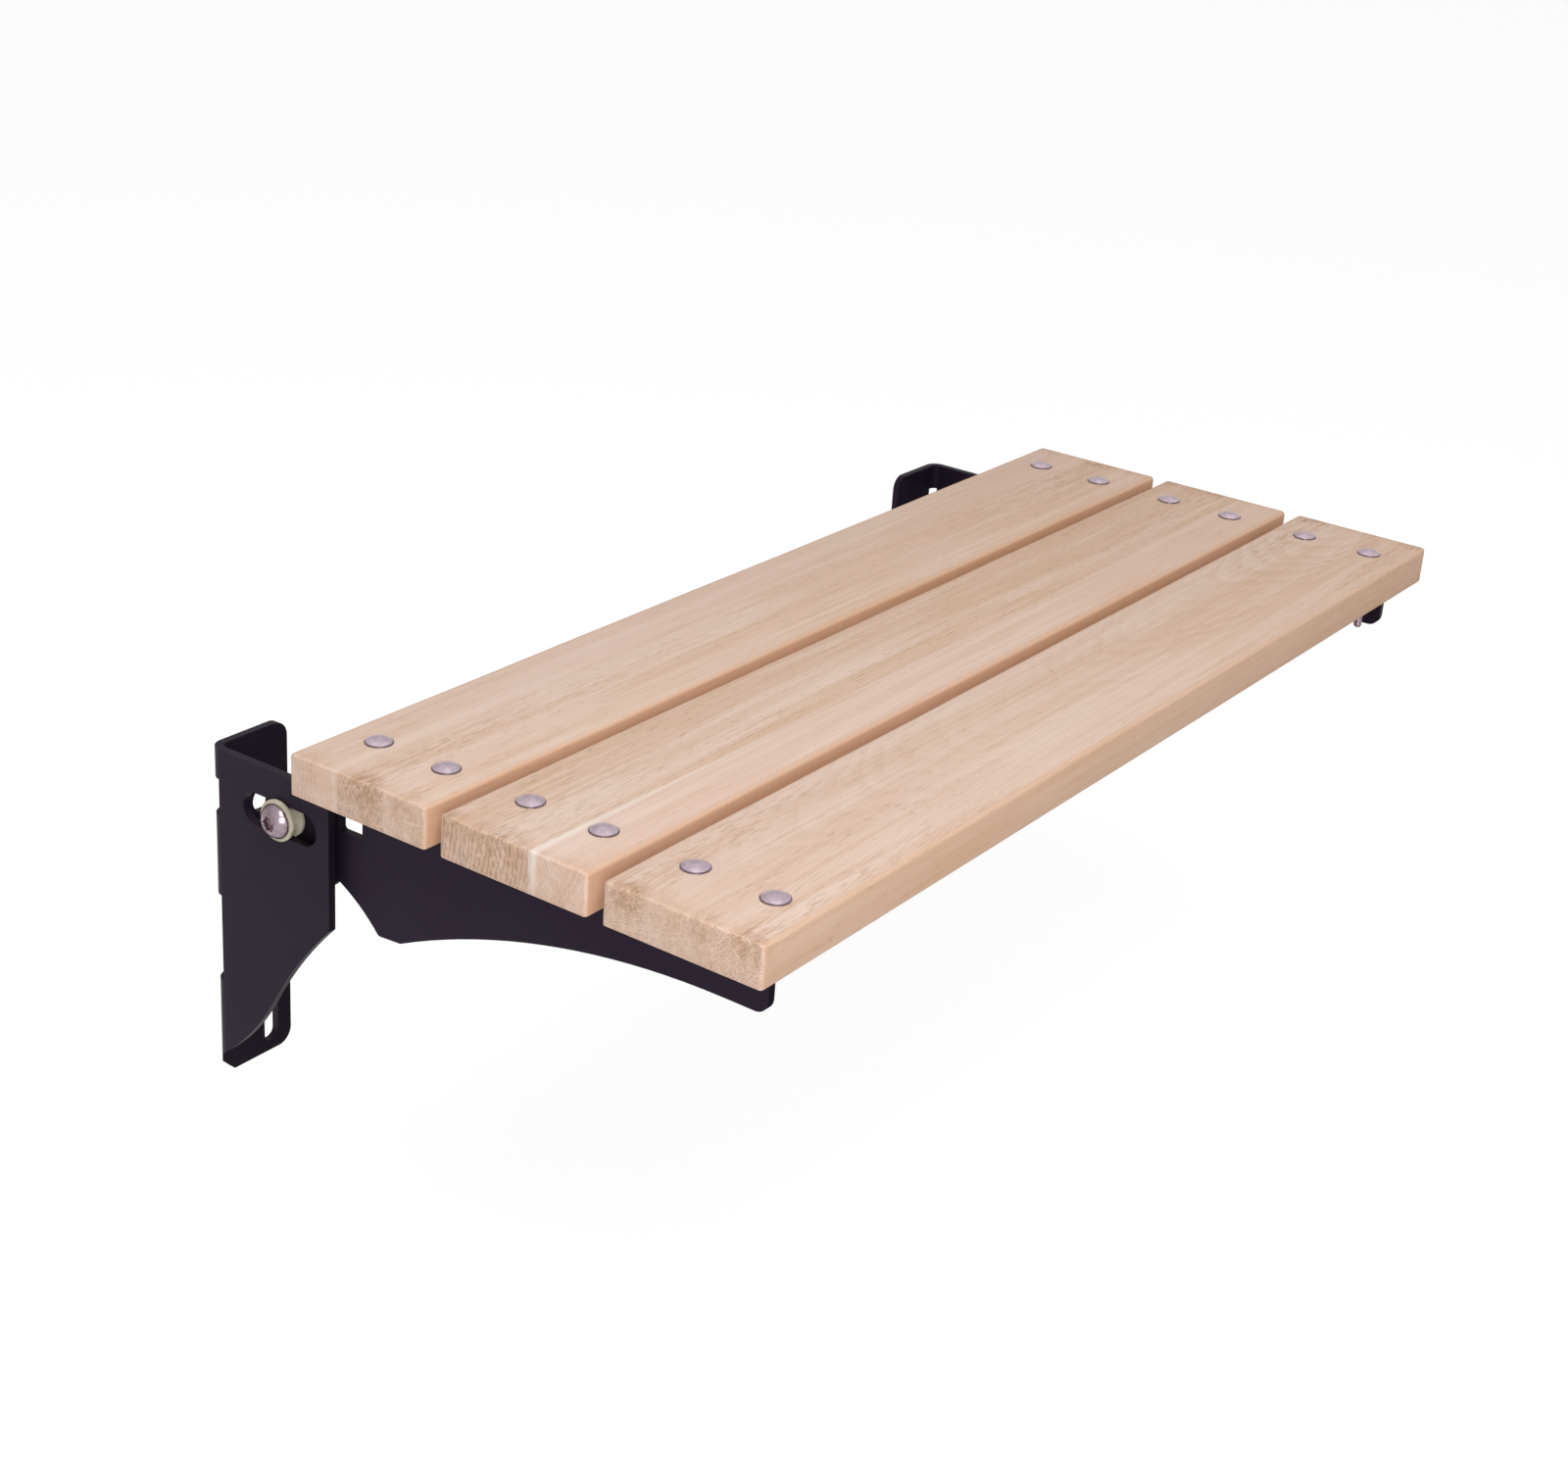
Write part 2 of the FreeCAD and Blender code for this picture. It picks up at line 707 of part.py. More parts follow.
def make_pivot_screw(label):
    """The button head screw that a seat arm swings on, with a hexagon socket."""
    body = new_body(label)
    head_radius = size("screw_head_diameter") / 2
    head_top = outer_washer_outer - size("screw_head_height")
    rim = outer_washer_outer - size("screw_head_rim")
    shank_radius = size("screw_diameter") / 2
    tip = outer_washer_outer + size("screw_length")
    chamfer = size("thread_chamfer")
    dome_rise = size("screw_head_height") - size("screw_head_rim")
    dome_radius = (dome_rise * dome_rise + head_radius * head_radius) / (2 * dome_rise)
    profile = new_sketch(body, "profile", "XZ_Plane", shift=-pivot_y, up=pivot_z)
    points = [
        (head_top, ZERO),
        (tip, ZERO),
        (tip, shank_radius - chamfer),
        (tip - chamfer, shank_radius),
        (outer_washer_outer, shank_radius),
        (outer_washer_outer, head_radius),
        (rim, head_radius),
    ]
    add_outline(profile, points, {6: (dome_radius, True)})
    revolve(body, profile, "H_Axis")
    socket = new_sketch(body, "socket", "YZ_Plane", shift=head_top)
    add_hexagon(socket, PIVOT, size("screw_socket_width"))
    pocket(body, socket, size("screw_socket_depth"))
    return body


def make_pivot_ring(label, start, length, radius):
    """A washer or roller on the pivot screw, from start towards the seat's middle."""
    body = new_body(label)
    ring = new_sketch(body, "ring", "YZ_Plane", shift=start)
    add_circle(ring, PIVOT, radius)
    add_circle(ring, PIVOT, size("screw_diameter") / 2 + size("screw_clearance"))
    pad(body, ring, length)
    return body


def make_pivot_nut(label):
    """The lock nut at the screw's inner end, with the corners of its far end taken off."""
    body = new_body(label)
    end = pivot_nut_start + size("pivot_nut_height")
    hexagon = new_sketch(body, "hexagon", "YZ_Plane", shift=pivot_nut_start)
    add_hexagon(hexagon, PIVOT, size("pivot_nut_width"))
    add_circle(hexagon, PIVOT, size("screw_diameter") / 2 + size("fit_clearance"))
    pad(body, hexagon, size("pivot_nut_height"))
    corners = new_sketch(body, "corners", "XZ_Plane", shift=-pivot_y, up=pivot_z)
    add_outline(corners, nut_chamfer_points(pivot_nut_start, end, size("pivot_nut_width")))
    groove(body, corners, "H_Axis")
    return body


def make_stop_stud(label):
    """The stud welded inside the bracket that the heel of the arm's ear rests on."""
    body = new_body(label)
    radius = size("stud_diameter") / 2
    center = (plate_front + size("stud_setback"), ear_bottom - running - radius)
    disc = new_sketch(body, "disc", "YZ_Plane", shift=plate_inner)
    add_circle(disc, center, radius)
    pad(body, disc, size("stud_length"))
    end = plate_inner + size("stud_length")
    soften(body, "Chamfer", size("thread_chamfer"), edges_on(body.Shape, x=end))
    return body


def mirror(body, label):
    """The right hand copy of a left hand part."""
    copy = document.addObject("Part::Mirroring", label)
    copy.Label = label
    copy.Source = body
    copy.Base = Vector(0, 0, 0)
    copy.Normal = Vector(1, 0, 0)
    document.recompute()
    return copy


nodes = []
for place, name in enumerate(("rear", "middle", "front")):
    rear = seat_rear - place * slat_pitch
    front = rear - size("slat_width")
    nodes.append(make_slat(f"{name}_slat", rear))
    nodes.append(make_slat_bolts(f"{name}_slat_bolts", front))
    nodes.append(make_slat_washers(f"{name}_slat_washers", front))
    nodes.append(make_slat_nuts(f"{name}_slat_nuts", front))

roller_radius = size("pivot_slot_height") / 2 - running
nylon = size("nylon_washer_thickness")
nylon_radius = size("nylon_washer_diameter") / 2
steel = size("pivot_washer_thickness")
steel_radius = size("pivot_washer_diameter") / 2
left_rings = {
    "outer_nylon_washer": (outer_washer_outer, nylon, nylon_radius),
    "slot_roller": (outer_washer_inner, thickness + 2 * running, roller_radius),
    "inner_nylon_washer": (inner_washer_outer, nylon, nylon_radius),
    "pivot_washer": (pivot_washer_start, steel, steel_radius),
}
left_parts = {
    "wall_bracket": make_wall_bracket("left_wall_bracket"),
    "stop_stud": make_stop_stud("left_stop_stud"),
    "seat_arm": make_seat_arm("left_seat_arm"),
    "pivot_screw": make_pivot_screw("left_pivot_screw"),
    "pivot_nut": make_pivot_nut("left_pivot_nut"),
}
for name, (start, length, radius) in left_rings.items():
    left_parts[name] = make_pivot_ring(f"left_{name}", start, length, radius)
for name, body in left_parts.items():
    nodes.append(body)
    nodes.append(mirror(body, f"right_{name}"))

document.recompute()
for thing in document.Objects:
    if "Invalid" in thing.State or "Error" in thing.State:
        raise RuntimeError(f"{thing.Name} failed: {thing.State}")
for node in nodes:
    if node.Shape.isNull() or not node.Shape.isValid():
        raise RuntimeError(f"{node.Label} has no valid shape")
for node in nodes:
    node.Shape.exportStep(f"parts/{node.Label}.step")
    print(node.Label, len(node.Shape.Solids), round(node.Shape.Volume, 1))
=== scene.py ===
"""Fold down wall seat: three oak slats on two folding arms of black steel, in a white studio."""

import logging
import math
from dataclasses import dataclass, replace
from enum import Enum
from typing import NamedTuple

import bmesh
import bpy
import numpy as np
from mathutils import Matrix, Vector


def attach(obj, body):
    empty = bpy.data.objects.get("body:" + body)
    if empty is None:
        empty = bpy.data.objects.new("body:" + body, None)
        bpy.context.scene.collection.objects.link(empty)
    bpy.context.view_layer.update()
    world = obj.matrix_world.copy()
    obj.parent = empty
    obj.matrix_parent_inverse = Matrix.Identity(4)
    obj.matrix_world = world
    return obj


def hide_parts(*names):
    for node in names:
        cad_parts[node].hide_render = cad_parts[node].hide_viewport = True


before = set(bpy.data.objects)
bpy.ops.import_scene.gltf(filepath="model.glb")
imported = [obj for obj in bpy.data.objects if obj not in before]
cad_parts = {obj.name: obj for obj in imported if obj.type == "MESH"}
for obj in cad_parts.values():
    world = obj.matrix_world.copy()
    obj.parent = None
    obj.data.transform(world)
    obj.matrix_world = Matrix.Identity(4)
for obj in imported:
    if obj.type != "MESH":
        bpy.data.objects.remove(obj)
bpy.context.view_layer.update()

LOG = logging.getLogger("wall_seat")
MM = 0.001
CREASE = math.radians(35.0)
REARS = {"rear_slat": -86.0, "middle_slat": -196.0, "front_slat": -306.0}


# Shapes


def ring_angles(count: int) -> np.ndarray:
    """Evenly spaced angles once round, in radians.

    Args:
        count: How many angles.

    Returns:
        The angles, the last one short of a full turn.
    """
    return np.linspace(0.0, 2.0 * np.pi, count, endpoint=False)


@dataclass
class Shell:
    """A closed surface of points and faces, in millimetres."""

    points: np.ndarray
    faces: list[list[int]]

    def moved(self, matrix: Matrix) -> "Shell":
        """The shell turned and moved by a matrix whose lengths are millimetres.

        Args:
            matrix: The 4 x 4 placement.

        Returns:
            A new shell.
        """
        turn = np.array(matrix.to_3x3(), float)
        shift = np.array(matrix.translation, float)
        return Shell(self.points @ turn.T + shift, self.faces).outward()

    def mirrored(self) -> "Shell":
        """The shell seen in the plane X = 0, for the other side of the seat."""
        return Shell(self.points * np.array([-1.0, 1.0, 1.0]), self.faces).outward()

    def outward(self) -> "Shell":
        """The shell with its faces turned outwards.

        The sum over fan triangles of a . (b x c) is six times the volume, and where it
        is below zero every face is turned round.

        Returns:
            The same surface, facing outwards.
        """
        six_volumes = 0.0
        for count in {len(face) for face in self.faces}:
            corners = self.points[np.array([f for f in self.faces if len(f) == count])]
            for step in range(1, count - 1):
                cross = np.cross(corners[:, step], corners[:, step + 1])
                six_volumes += float(np.einsum("ij,ij->", corners[:, 0], cross))
        if six_volumes >= 0.0:
            return self
        return Shell(self.points, [face[::-1] for face in self.faces])


def skin(rings: np.ndarray, hollow: bool = False) -> Shell:
    """Joins rings of points into one closed surface.

    Point j of ring i joins point j + 1 and the same two points of ring i + 1. A hollow
    skin joins its last ring to its first. Any other is closed at each end by a fan
    round the mean point of the end ring.

    Args:
        rings: Points as an array of ring, point and coordinate.
        hollow: True for a ring-shaped body with a hole through it.

    Returns:
        The closed surface.
    """
    count, around = rings.shape[:2]
    index = np.arange(count * around).reshape(count, around)
    near = index if hollow else index[:-1]
    far = np.roll(index, -1, axis=0) if hollow else index[1:]
    quads = np.stack([near, np.roll(near, -1, axis=1), np.roll(far, -1, axis=1), far], axis=-1)
    faces = quads.reshape(-1, 4).tolist()
    points = rings.reshape(-1, 3)
    if not hollow:
        first, last = index[0], index[-1]
        points = np.vstack([points, rings[0].mean(0), rings[-1].mean(0)])
        start = np.full(around, len(points) - 2)
        end = np.full(around, len(points) - 1)
        faces += np.stack([start, np.roll(first, -1), first], axis=-1).tolist()
        faces += np.stack([end, last, np.roll(last, -1)], axis=-1).tolist()
    return Shell(points, faces).outward()


def circles(radii: np.ndarray, heights: np.ndarray) -> np.ndarray:
    """Rings of points (radius cos t, radius sin t, height), for t once round.

    Args:
        radii: The radius at each ring and angle.
        heights: The height of each ring.

    Returns:
        The points, as an array of ring, point and coordinate.
    """
    angle = ring_angles(radii.shape[1])
    height = np.broadcast_to(heights[:, None], radii.shape)
    return np.stack([radii * np.cos(angle), radii * np.sin(angle), height], axis=-1)


def polar(radii: np.ndarray, heights: np.ndarray, hollow: bool = False) -> Shell:
    """A body whose radius depends on both its height and the angle round it.

    Args:
        radii: The radius at each ring and angle.
        heights: The height of each ring.
        hollow: True for a body with a hole through it.

    Returns:
        The closed surface.
    """
    return skin(circles(radii, heights), hollow)


def rounded_corner(center: tuple[float, float], radius: float, start: float, stop: float, steps: int) -> np.ndarray:
    """Points of an arc in a profile.

    Args:
        center: Radius and height of the arc's own centre.
        radius: The arc's radius.
        start: First angle, in degrees.
        stop: Last angle, in degrees.
        steps: How many points.

    Returns:
        The points as radius and height.
    """
    turn = np.radians(np.linspace(start, stop, steps))
    return np.stack([center[0] + radius * np.cos(turn), center[1] + radius * np.sin(turn)], axis=-1)


def soft_ring(
    span: tuple[float, float], radius: float, bore: float, soft: float, steps: int, around: int
) -> Shell:
    """A flat ring about the Z axis, with its four edges rounded.

    Args:
        span: The heights of its two faces, the lower one first.
        radius: Its outer radius.
        bore: Its inner radius.
        soft: The rounding of its edges.
        steps: How many points each rounding has.
        around: How many points a ring has.

    Returns:
        The ring's surface.
    """
    low, high = span[0] + soft, span[1] - soft
    outer, inner = radius - soft, bore + soft
    corners = ((outer, high, 90.0), (outer, low, 0.0), (inner, low, 270.0), (inner, high, 180.0))
    arcs = [rounded_corner((across, level), soft, start, start - 90.0, steps) for across, level, start in corners]
    profile = np.concatenate(arcs)
    return polar(profile[:, :1] * np.ones(around), profile[:, 1], hollow=True)


def polygon_radius(angle: np.ndarray, flat: float, sides: int) -> np.ndarray:
    """Distance from the middle of a regular polygon to its side, at each angle.

    It is half the width across flats divided by the cosine of the angle from the
    nearest side's middle.

    Args:
        angle: The angles, in radians.
        flat: Half the width across flats.
        sides: How many sides.

    Returns:
        The distances.
    """
    sector = 2.0 * np.pi / sides
    return flat / np.cos((angle + sector / 2.0) % sector - sector / 2.0)


def joined(shells: list[Shell]) -> Shell:
    """Several closed surfaces as one mesh.

    Args:
        shells: The surfaces.

    Returns:
        One shell that holds them all, unjoined.
    """
    starts = np.cumsum([0] + [len(shell.points) for shell in shells[:-1]])
    faces = [[i + int(start) for i in face] for shell, start in zip(shells, starts) for face in shell.faces]
    return Shell(np.vstack([shell.points for shell in shells]), faces)


# Materials


class Wire:
    """One value in a graph, with the signs of arithmetic."""

    def __init__(self, graph: "Graph", socket: bpy.types.NodeSocket) -> None:
        """Keeps the graph and the output socket that the value comes from."""
        self.graph = graph
        self.socket = socket

    def __add__(self, other: "Wire | float") -> "Wire":
        """This value plus another."""
        return self.graph.maths("ADD", self, other)

    def __radd__(self, other: float) -> "Wire":
        """A number plus this value."""
        return self.graph.maths("ADD", other, self)

    def __sub__(self, other: "Wire | float") -> "Wire":
        """This value less another."""
        return self.graph.maths("SUBTRACT", self, other)

    def __rsub__(self, other: float) -> "Wire":
        """A number less this value."""
        return self.graph.maths("SUBTRACT", other, self)

    def __mul__(self, other: "Wire | float") -> "Wire":
        """This value times another."""
        return self.graph.maths("MULTIPLY", self, other)

    def __truediv__(self, other: "Wire | float") -> "Wire":
        """This value divided by another."""
        return self.graph.maths("DIVIDE", self, other)


class Graph:
    """The node graph of one material, or of the world round the studio."""

    def __init__(self, name: str, world: bool = False) -> None:
        """Starts an empty graph.

        Args:
            name: The name of the material or world that owns it.
            world: True for a world.
        """
        self.owner = (bpy.data.worlds if world else bpy.data.materials).new(name)
        self.owner.use_nodes = True
        self.tree = self.owner.node_tree
        self.tree.nodes.clear()

    def node(self, kind: str, settings: dict | None = None, values: dict | None = None) -> bpy.types.Node:
        """Adds a node.

        Args:
            kind: The node's type.
            settings: Its properties, such as a Math node's operation, which are set first.
            values: What each named or numbered input is given.

        Returns:
            The node.
        """
        node = self.tree.nodes.new(kind)
        for key, value in (settings or {}).items():
            setattr(node, key, value)
        for key, value in (values or {}).items():
            self.feed(node.inputs[key], value)
        return node

    def feed(self, entry: bpy.types.NodeSocket, value: object) -> None:
        """Gives an input its value or its link.

        Args:
            entry: The input.
            value: A wire, an output socket, a number, a vector or a colour.
        """
        if isinstance(value, Wire):
            self.tree.links.new(value.socket, entry)
        elif isinstance(value, bpy.types.NodeSocket):
            self.tree.links.new(value, entry)
        elif entry.type == "RGBA" and len(value) == 3:
            entry.default_value = (*value, 1.0)
        else:
            entry.default_value = value

    def maths(self, operation: str, *values: "Wire | float") -> Wire:
        """A Math node on one, two or three values."""
        node = self.node("ShaderNodeMath", {"operation": operation}, dict(enumerate(values)))
        return Wire(self, node.outputs[0])

    def vector(self, operation: str, *values: object) -> Wire:
        """A Vector Math node on vectors, or a vector and a number for SCALE."""
        node = self.node("ShaderNodeVectorMath", {"operation": operation})
        entries = [node.inputs[0], node.inputs["Scale"] if operation == "SCALE" else node.inputs[1]]
        for entry, value in zip(entries, values):
            self.feed(entry, value)
        return Wire(self, node.outputs["Value" if operation == "DOT_PRODUCT" else "Vector"])

    def place(self) -> Wire:
        """Where the shaded point is, in millimetres of the seat's own frame."""
        node = self.node("ShaderNodeTexCoord")
        return self.vector("SCALE", node.outputs["Object"], 1000.0)

    def split(self, vector: Wire) -> list[Wire]:
        """The three coordinates of a vector."""
        node = self.node("ShaderNodeSeparateXYZ", None, {0: vector})
        return [Wire(self, output) for output in node.outputs]

    def gather(self, x: "Wire | float", y: "Wire | float", z: "Wire | float") -> Wire:
        """A vector from its three coordinates."""
        return Wire(self, self.node("ShaderNodeCombineXYZ", None, {0: x, 1: y, 2: z}).outputs[0])

    def noise(self, vector: Wire, scale: float, detail: float, rough: float = 0.5) -> Wire:
        """Soft noise about 0.5.

        Args:
            vector: Where it is read.
            scale: How many features there are in one unit.
            detail: How many finer layers are added.
            rough: How strong the finer layers are.

        Returns:
            The noise.
        """
        values = {"Vector": vector, "Scale": scale, "Detail": detail, "Roughness": rough}
        return Wire(self, self.node("ShaderNodeTexNoise", None, values).outputs[0])

    def cells(self, vector: Wire, jitter: float = 1.0, flat: bool = False) -> Wire:
        """Distance to the nearest of many scattered points, one to a unit.

        Args:
            vector: Where it is read.
            jitter: How far the points leave a square grid.
            flat: True to scatter them over the vector's first two numbers alone.

        Returns:
            The distance.
        """
        settings = {"voronoi_dimensions": "2D" if flat else "3D"}
        values = {"Vector": vector, "Scale": 1.0, "Randomness": jitter}
        return Wire(self, self.node("ShaderNodeTexVoronoi", settings, values).outputs["Distance"])

    def ramp(self, value: Wire, low: float, high: float, start: float = 0.0, stop: float = 1.0) -> Wire:
        """Runs smoothly from start to stop as a value goes from low to high."""
        settings = {"interpolation_type": "SMOOTHSTEP"}
        values = {"Value": value, "From Min": low, "From Max": high, "To Min": start, "To Max": stop}
        return Wire(self, self.node("ShaderNodeMapRange", settings, values).outputs["Result"])

    def tinted(self, share: "Wire | float", first: object, second: object) -> Wire:
        """Mixes two colours.

        Args:
            share: How much of the second.
            first: The colour at 0.
            second: The colour at 1.

        Returns:
            The colour.
        """
        node = self.node("ShaderNodeMix", {"data_type": "RGBA"})
        self.feed(node.inputs[0], share)
        self.feed(node.inputs[6], first)
        self.feed(node.inputs[7], second)
        return Wire(self, node.outputs[2])

    def bump(self, height: Wire, depth: float, normal: Wire | None = None) -> Wire:
        """A normal that follows a height.

        Args:
            height: The height, from 0 to 1.
            depth: How far 0 is below 1, in millimetres.
            normal: The normal that it starts from.

        Returns:
            The normal.
        """
        values = {"Height": height, "Distance": depth * MM, "Strength": 1.0}
        if normal is not None:
            values["Normal"] = normal
        return Wire(self, self.node("ShaderNodeBump", None, values).outputs[0])

    def finish(self, **values: object) -> bpy.types.Material:
        """Adds the Principled shader and the output.

        Args:
            values: The shader's inputs, with _ for a space.

        Returns:
            The finished material.
        """
        named = {key.replace("_", " "): value for key, value in values.items()}
        shader = self.node("ShaderNodeBsdfPrincipled", None, named)
        self.node("ShaderNodeOutputMaterial", None, {0: shader.outputs[0]})
        return self.owner


@dataclass(frozen=True)
class Stave:
    """One strip of oak glued into a slat, and how it was cut from its log."""

    start: float
    heart: tuple[float, float]
    drift: tuple[float, float]
    ring: float
    shade: float
    pores: float
    pink: float


@dataclass(frozen=True)
class Stain:
    """A patch of open, darker end grain that runs up over a slat's top edge."""

    middle: float
    reach: float
    strength: float


@dataclass(frozen=True)
class OakFinish:
    """Sanded oak, oiled matt: growth rings about each stave's heart, pores, rays and streaks, with painted shade
    and painted bounce light in its colour.
    """

    name: str
    staves: tuple[Stave, ...]
    stains: tuple[Stain, ...]
    rear: float
    seed: float
    streak: float = 1.0
    glue: float = 0.0
    width: float = 100.0
    high: float = 73.5
    # share of painted bounce light: warm orange on the long faces that look into the gaps between the slats
    gap_bounce: float = 1.0
    pale: tuple[float, float, float] = (0.865, 0.688, 0.588)
    warm: tuple[float, float, float] = (0.714, 0.487, 0.342)
    pink: tuple[float, float, float] = (0.805, 0.582, 0.490)
    amber: tuple[float, float, float] = (0.660, 0.410, 0.262)
    orange: tuple[float, float, float] = (0.680, 0.370, 0.210)
    dark: tuple[float, float, float] = (0.320, 0.168, 0.090)
    open_grain: tuple[float, float, float] = (0.460, 0.265, 0.140)
    glue_color: tuple[float, float, float] = (0.930, 0.830, 0.750)

    def by_stave(self, masks: list[Wire], read: str, part: int | None = None) -> "Wire | float":
        """A value that changes from stave to stave.

        It is the first stave's number plus, past each joint, the step to the next.

        Args:
            masks: 1 beyond each glue joint, 0 before it.
            read: The field that is read.
            part: Which of the field's two numbers, where it has two.

        Returns:
            The value.
        """
        numbers = [getattr(stave, read) for stave in self.staves]
        numbers = numbers if part is None else [pair[part] for pair in numbers]
        value: Wire | float = numbers[0]
        for mask, before, after in zip(masks, numbers, numbers[1:]):
            if after != before:
                value = mask * (after - before) + value
        return value

    def stained(self, graph: Graph, y: Wire, wander: Wire) -> Wire:
        """Where the end grain is stained, from 0 to 1, across the slat.

        Each stain falls smoothly from its middle to its reach, and wanders a little.

        Args:
            graph: The material's graph.
            y: The place across the slat.
            wander: Noise about 0.5 that frays the stain's sides.

        Returns:
            The share.
        """
        total: Wire | float = 0.0
        for stain in self.stains:
            away = graph.maths("ABSOLUTE", y - stain.middle) + (wander - 0.5) * (stain.reach * 0.9)
            total = graph.ramp(away, stain.reach * 0.35, stain.reach, stain.strength, 0.0) + total
        return graph.maths("MINIMUM", total, 1.0)

    def material(self) -> bpy.types.Material:
        """Builds the wood: its colour is a pale ground with layers, each a share and a tone.

        Returns:
            The material.
        """
        g = Graph(self.name)
        place = g.vector("ADD", g.place(), (self.seed * 1000.0, 0.0, 0.0))
        x, y, z = g.split(g.place())
        masks = [g.ramp(y, stave.start - 0.12, stave.start + 0.12) for stave in self.staves[1:]]
        slow = g.vector("MULTIPLY", place, (0.0042, 0.016, 0.016))
        sway = g.noise(slow, 1.0, 3.0) - 0.5
        lean = g.noise(g.vector("ADD", slow, (7.3, 1.9, 4.1)), 1.0, 3.0) - 0.5
        across = y - self.by_stave(masks, "heart", 0) - x * self.by_stave(masks, "drift", 0) + sway * 9.0
        upward = z - self.by_stave(masks, "heart", 1) - x * self.by_stave(masks, "drift", 1) + lean * 9.0
        radius = g.maths("SQRT", across * across + upward * upward)
        turn = g.maths("ARCTAN2", upward, across)
        phase = radius / self.by_stave(masks, "ring") + g.noise(g.vector("SCALE", place, 0.02), 1.0, 1.0) * 2.0
        year = g.maths("FRACT", phase)
        early = g.ramp(year, 0.0, 0.12) * g.ramp(year, 0.22, 0.85, 1.0, 0.0)
        strong = g.ramp(g.noise(g.gather(g.maths("FLOOR", phase), 0.5, self.seed), 0.37, 1.0), 0.3, 0.7, 0.35, 1.0)
        rings = early * strong
        pores = self.by_stave(masks, "pores")

        def figure(along: float, over: float, up: float, detail: float, rough: float) -> Wire:
            """Noise with so many features to the millimetre along, across and up the slat."""
            return g.noise(g.vector("MULTIPLY", place, (along, over, up)), 1.0, detail, rough)

        hair = figure(0.022, 1.6, 1.6, 3.0, 0.6)
        fleck = figure(0.085, 0.62, 0.62, 3.0, 0.62)
        band = figure(0.0035, 0.085, 0.05, 3.0, 0.55)
        strip = figure(0.0065, 0.30, 0.22, 2.0, 0.55)
        cloud = figure(0.008, 0.03, 0.02, 2.0, 0.5)
        rough = figure(0.10, 0.24, 0.24, 4.0, 0.65)

        normal = g.node("ShaderNodeNewGeometry")
        facing = g.split(Wire(g, normal.outputs["Normal"]))[0]
        end = g.ramp(g.maths("ABSOLUTE", facing), 0.40, 0.80)
        near_end = g.ramp(g.maths("ABSOLUTE", x), 386.0, 399.0)
        side = g.maths("MINIMUM", self.rear - y, y - (self.rear - self.width))
        # painted shade: amber darkening over the long faces and a few millimetres of their rounded edges, where
        # they turn away from the light
        mottle_and_arris_shade = g.ramp(side + (fleck - 0.5) * 2.4, 0.4, 4.6, 1.0, 0.0)
        stain = self.stained(g, y, rough)

        fine = g.cells(g.vector("MULTIPLY", place, (0.085, 1.30, 1.30)))
        dash = g.ramp(fine, 0.14, 0.40, 1.0, 0.0) * (rings * 0.75 + g.ramp(fleck, 0.50, 0.66) * 0.45) * pores
        round_ring = turn * radius / (self.by_stave(masks, "ring") * 0.74) + sway * 3.0
        spot = g.cells(g.gather(phase + 0.38, round_ring, 0.0), 0.42, True)
        small = g.cells(g.vector("MULTIPLY", g.gather(y, z, 0.0), (0.90, 0.90, 0.0)), 0.8, True)
        dot = g.ramp(spot, 0.20, 0.44, 1.0, 0.0) * (0.70 + strong * 0.30) + g.ramp(small, 0.12, 0.32, 0.30, 0.0)
        dot = g.maths("MINIMUM", dot * g.ramp(rough, 0.32, 0.60, 0.35, 1.0) * pores, 1.0)
        ray = g.noise(g.gather(turn * 170.0, radius * 0.05, x * 0.04), 1.0, 1.0)

        broad = g.ramp(band, 0.34, 0.66) * (0.50 * self.streak)
        narrow = g.ramp(strip, 0.42, 0.72) * (g.ramp(side, 0.0, 1.2, 0.66, 0.34) * self.streak)
        ring_tone = rings * g.ramp(x, -60.0, 240.0, 0.16, 0.28)
        # painted shade: the boards turn darker and warmer towards their far end, +X, where less light reaches them
        painted_far_shade = g.ramp(x, -340.0, 260.0, 0.0, 0.24)
        grain_and_far_shade = broad + narrow + ring_tone + self.by_stave(masks, "shade") + painted_far_shade
        # painted bounce light: the long faces get a warm orange, as if lit by light bounced between the boards
        inner = g.ramp(side, 0.10, 1.1, 1.0, 0.0) * (1.0 - end) * self.gap_bounce
        torn = stain * g.ramp(rough, 0.34, 0.58)
        upper = g.ramp(z + (rough - 0.5) * 16.0, self.high - 18.0, self.high - 4.0, 0.12, 1.0)
        inward = g.ramp(g.maths("ABSOLUTE", x) + (fleck - 0.5) * 34.0, 382.0, 400.0)
        dashes = g.ramp(fleck, 0.47, 0.66) * g.ramp(g.maths("ABSOLUTE", x), 90.0, 400.0)
        layers = [
            (g.maths("MINIMUM", grain_and_far_shade, 1.0), self.warm),
            (g.ramp(cloud, 0.4, 0.7) * 0.35 + self.by_stave(masks, "pink"), self.pink),
            (g.ramp(hair, 0.50, 0.72) * 0.34, self.warm),
            (g.ramp(hair, 0.50, 0.30) * 0.28, self.pale),
            (g.ramp(fleck, 0.57, 0.74) * g.ramp(band, 0.40, 0.62) * 0.50, self.amber),
            (mottle_and_arris_shade * (1.0 - end) * 0.58, self.amber),
            (inner * 0.42, self.orange),
            (near_end * (1.0 - end) * (g.ramp(rough, 0.40, 0.60) * 0.30 + 0.12), self.amber),
            (dash * (1.0 - end) * 0.42, self.dark),
            (end * 0.14, self.amber),
            (end * rings * 0.26, self.open_grain),
            (end * dot * 0.76, self.dark),
            (g.ramp(ray, 0.50, 0.68) * end * 0.30, self.pale),
            (torn * inward * (upper * 0.50), self.open_grain),
            (stain * dashes * (1.0 - end) * 0.42, self.open_grain),
            (torn * inward * upper * g.maths("MAXIMUM", dot, dash) * 0.60, self.dark),
        ]
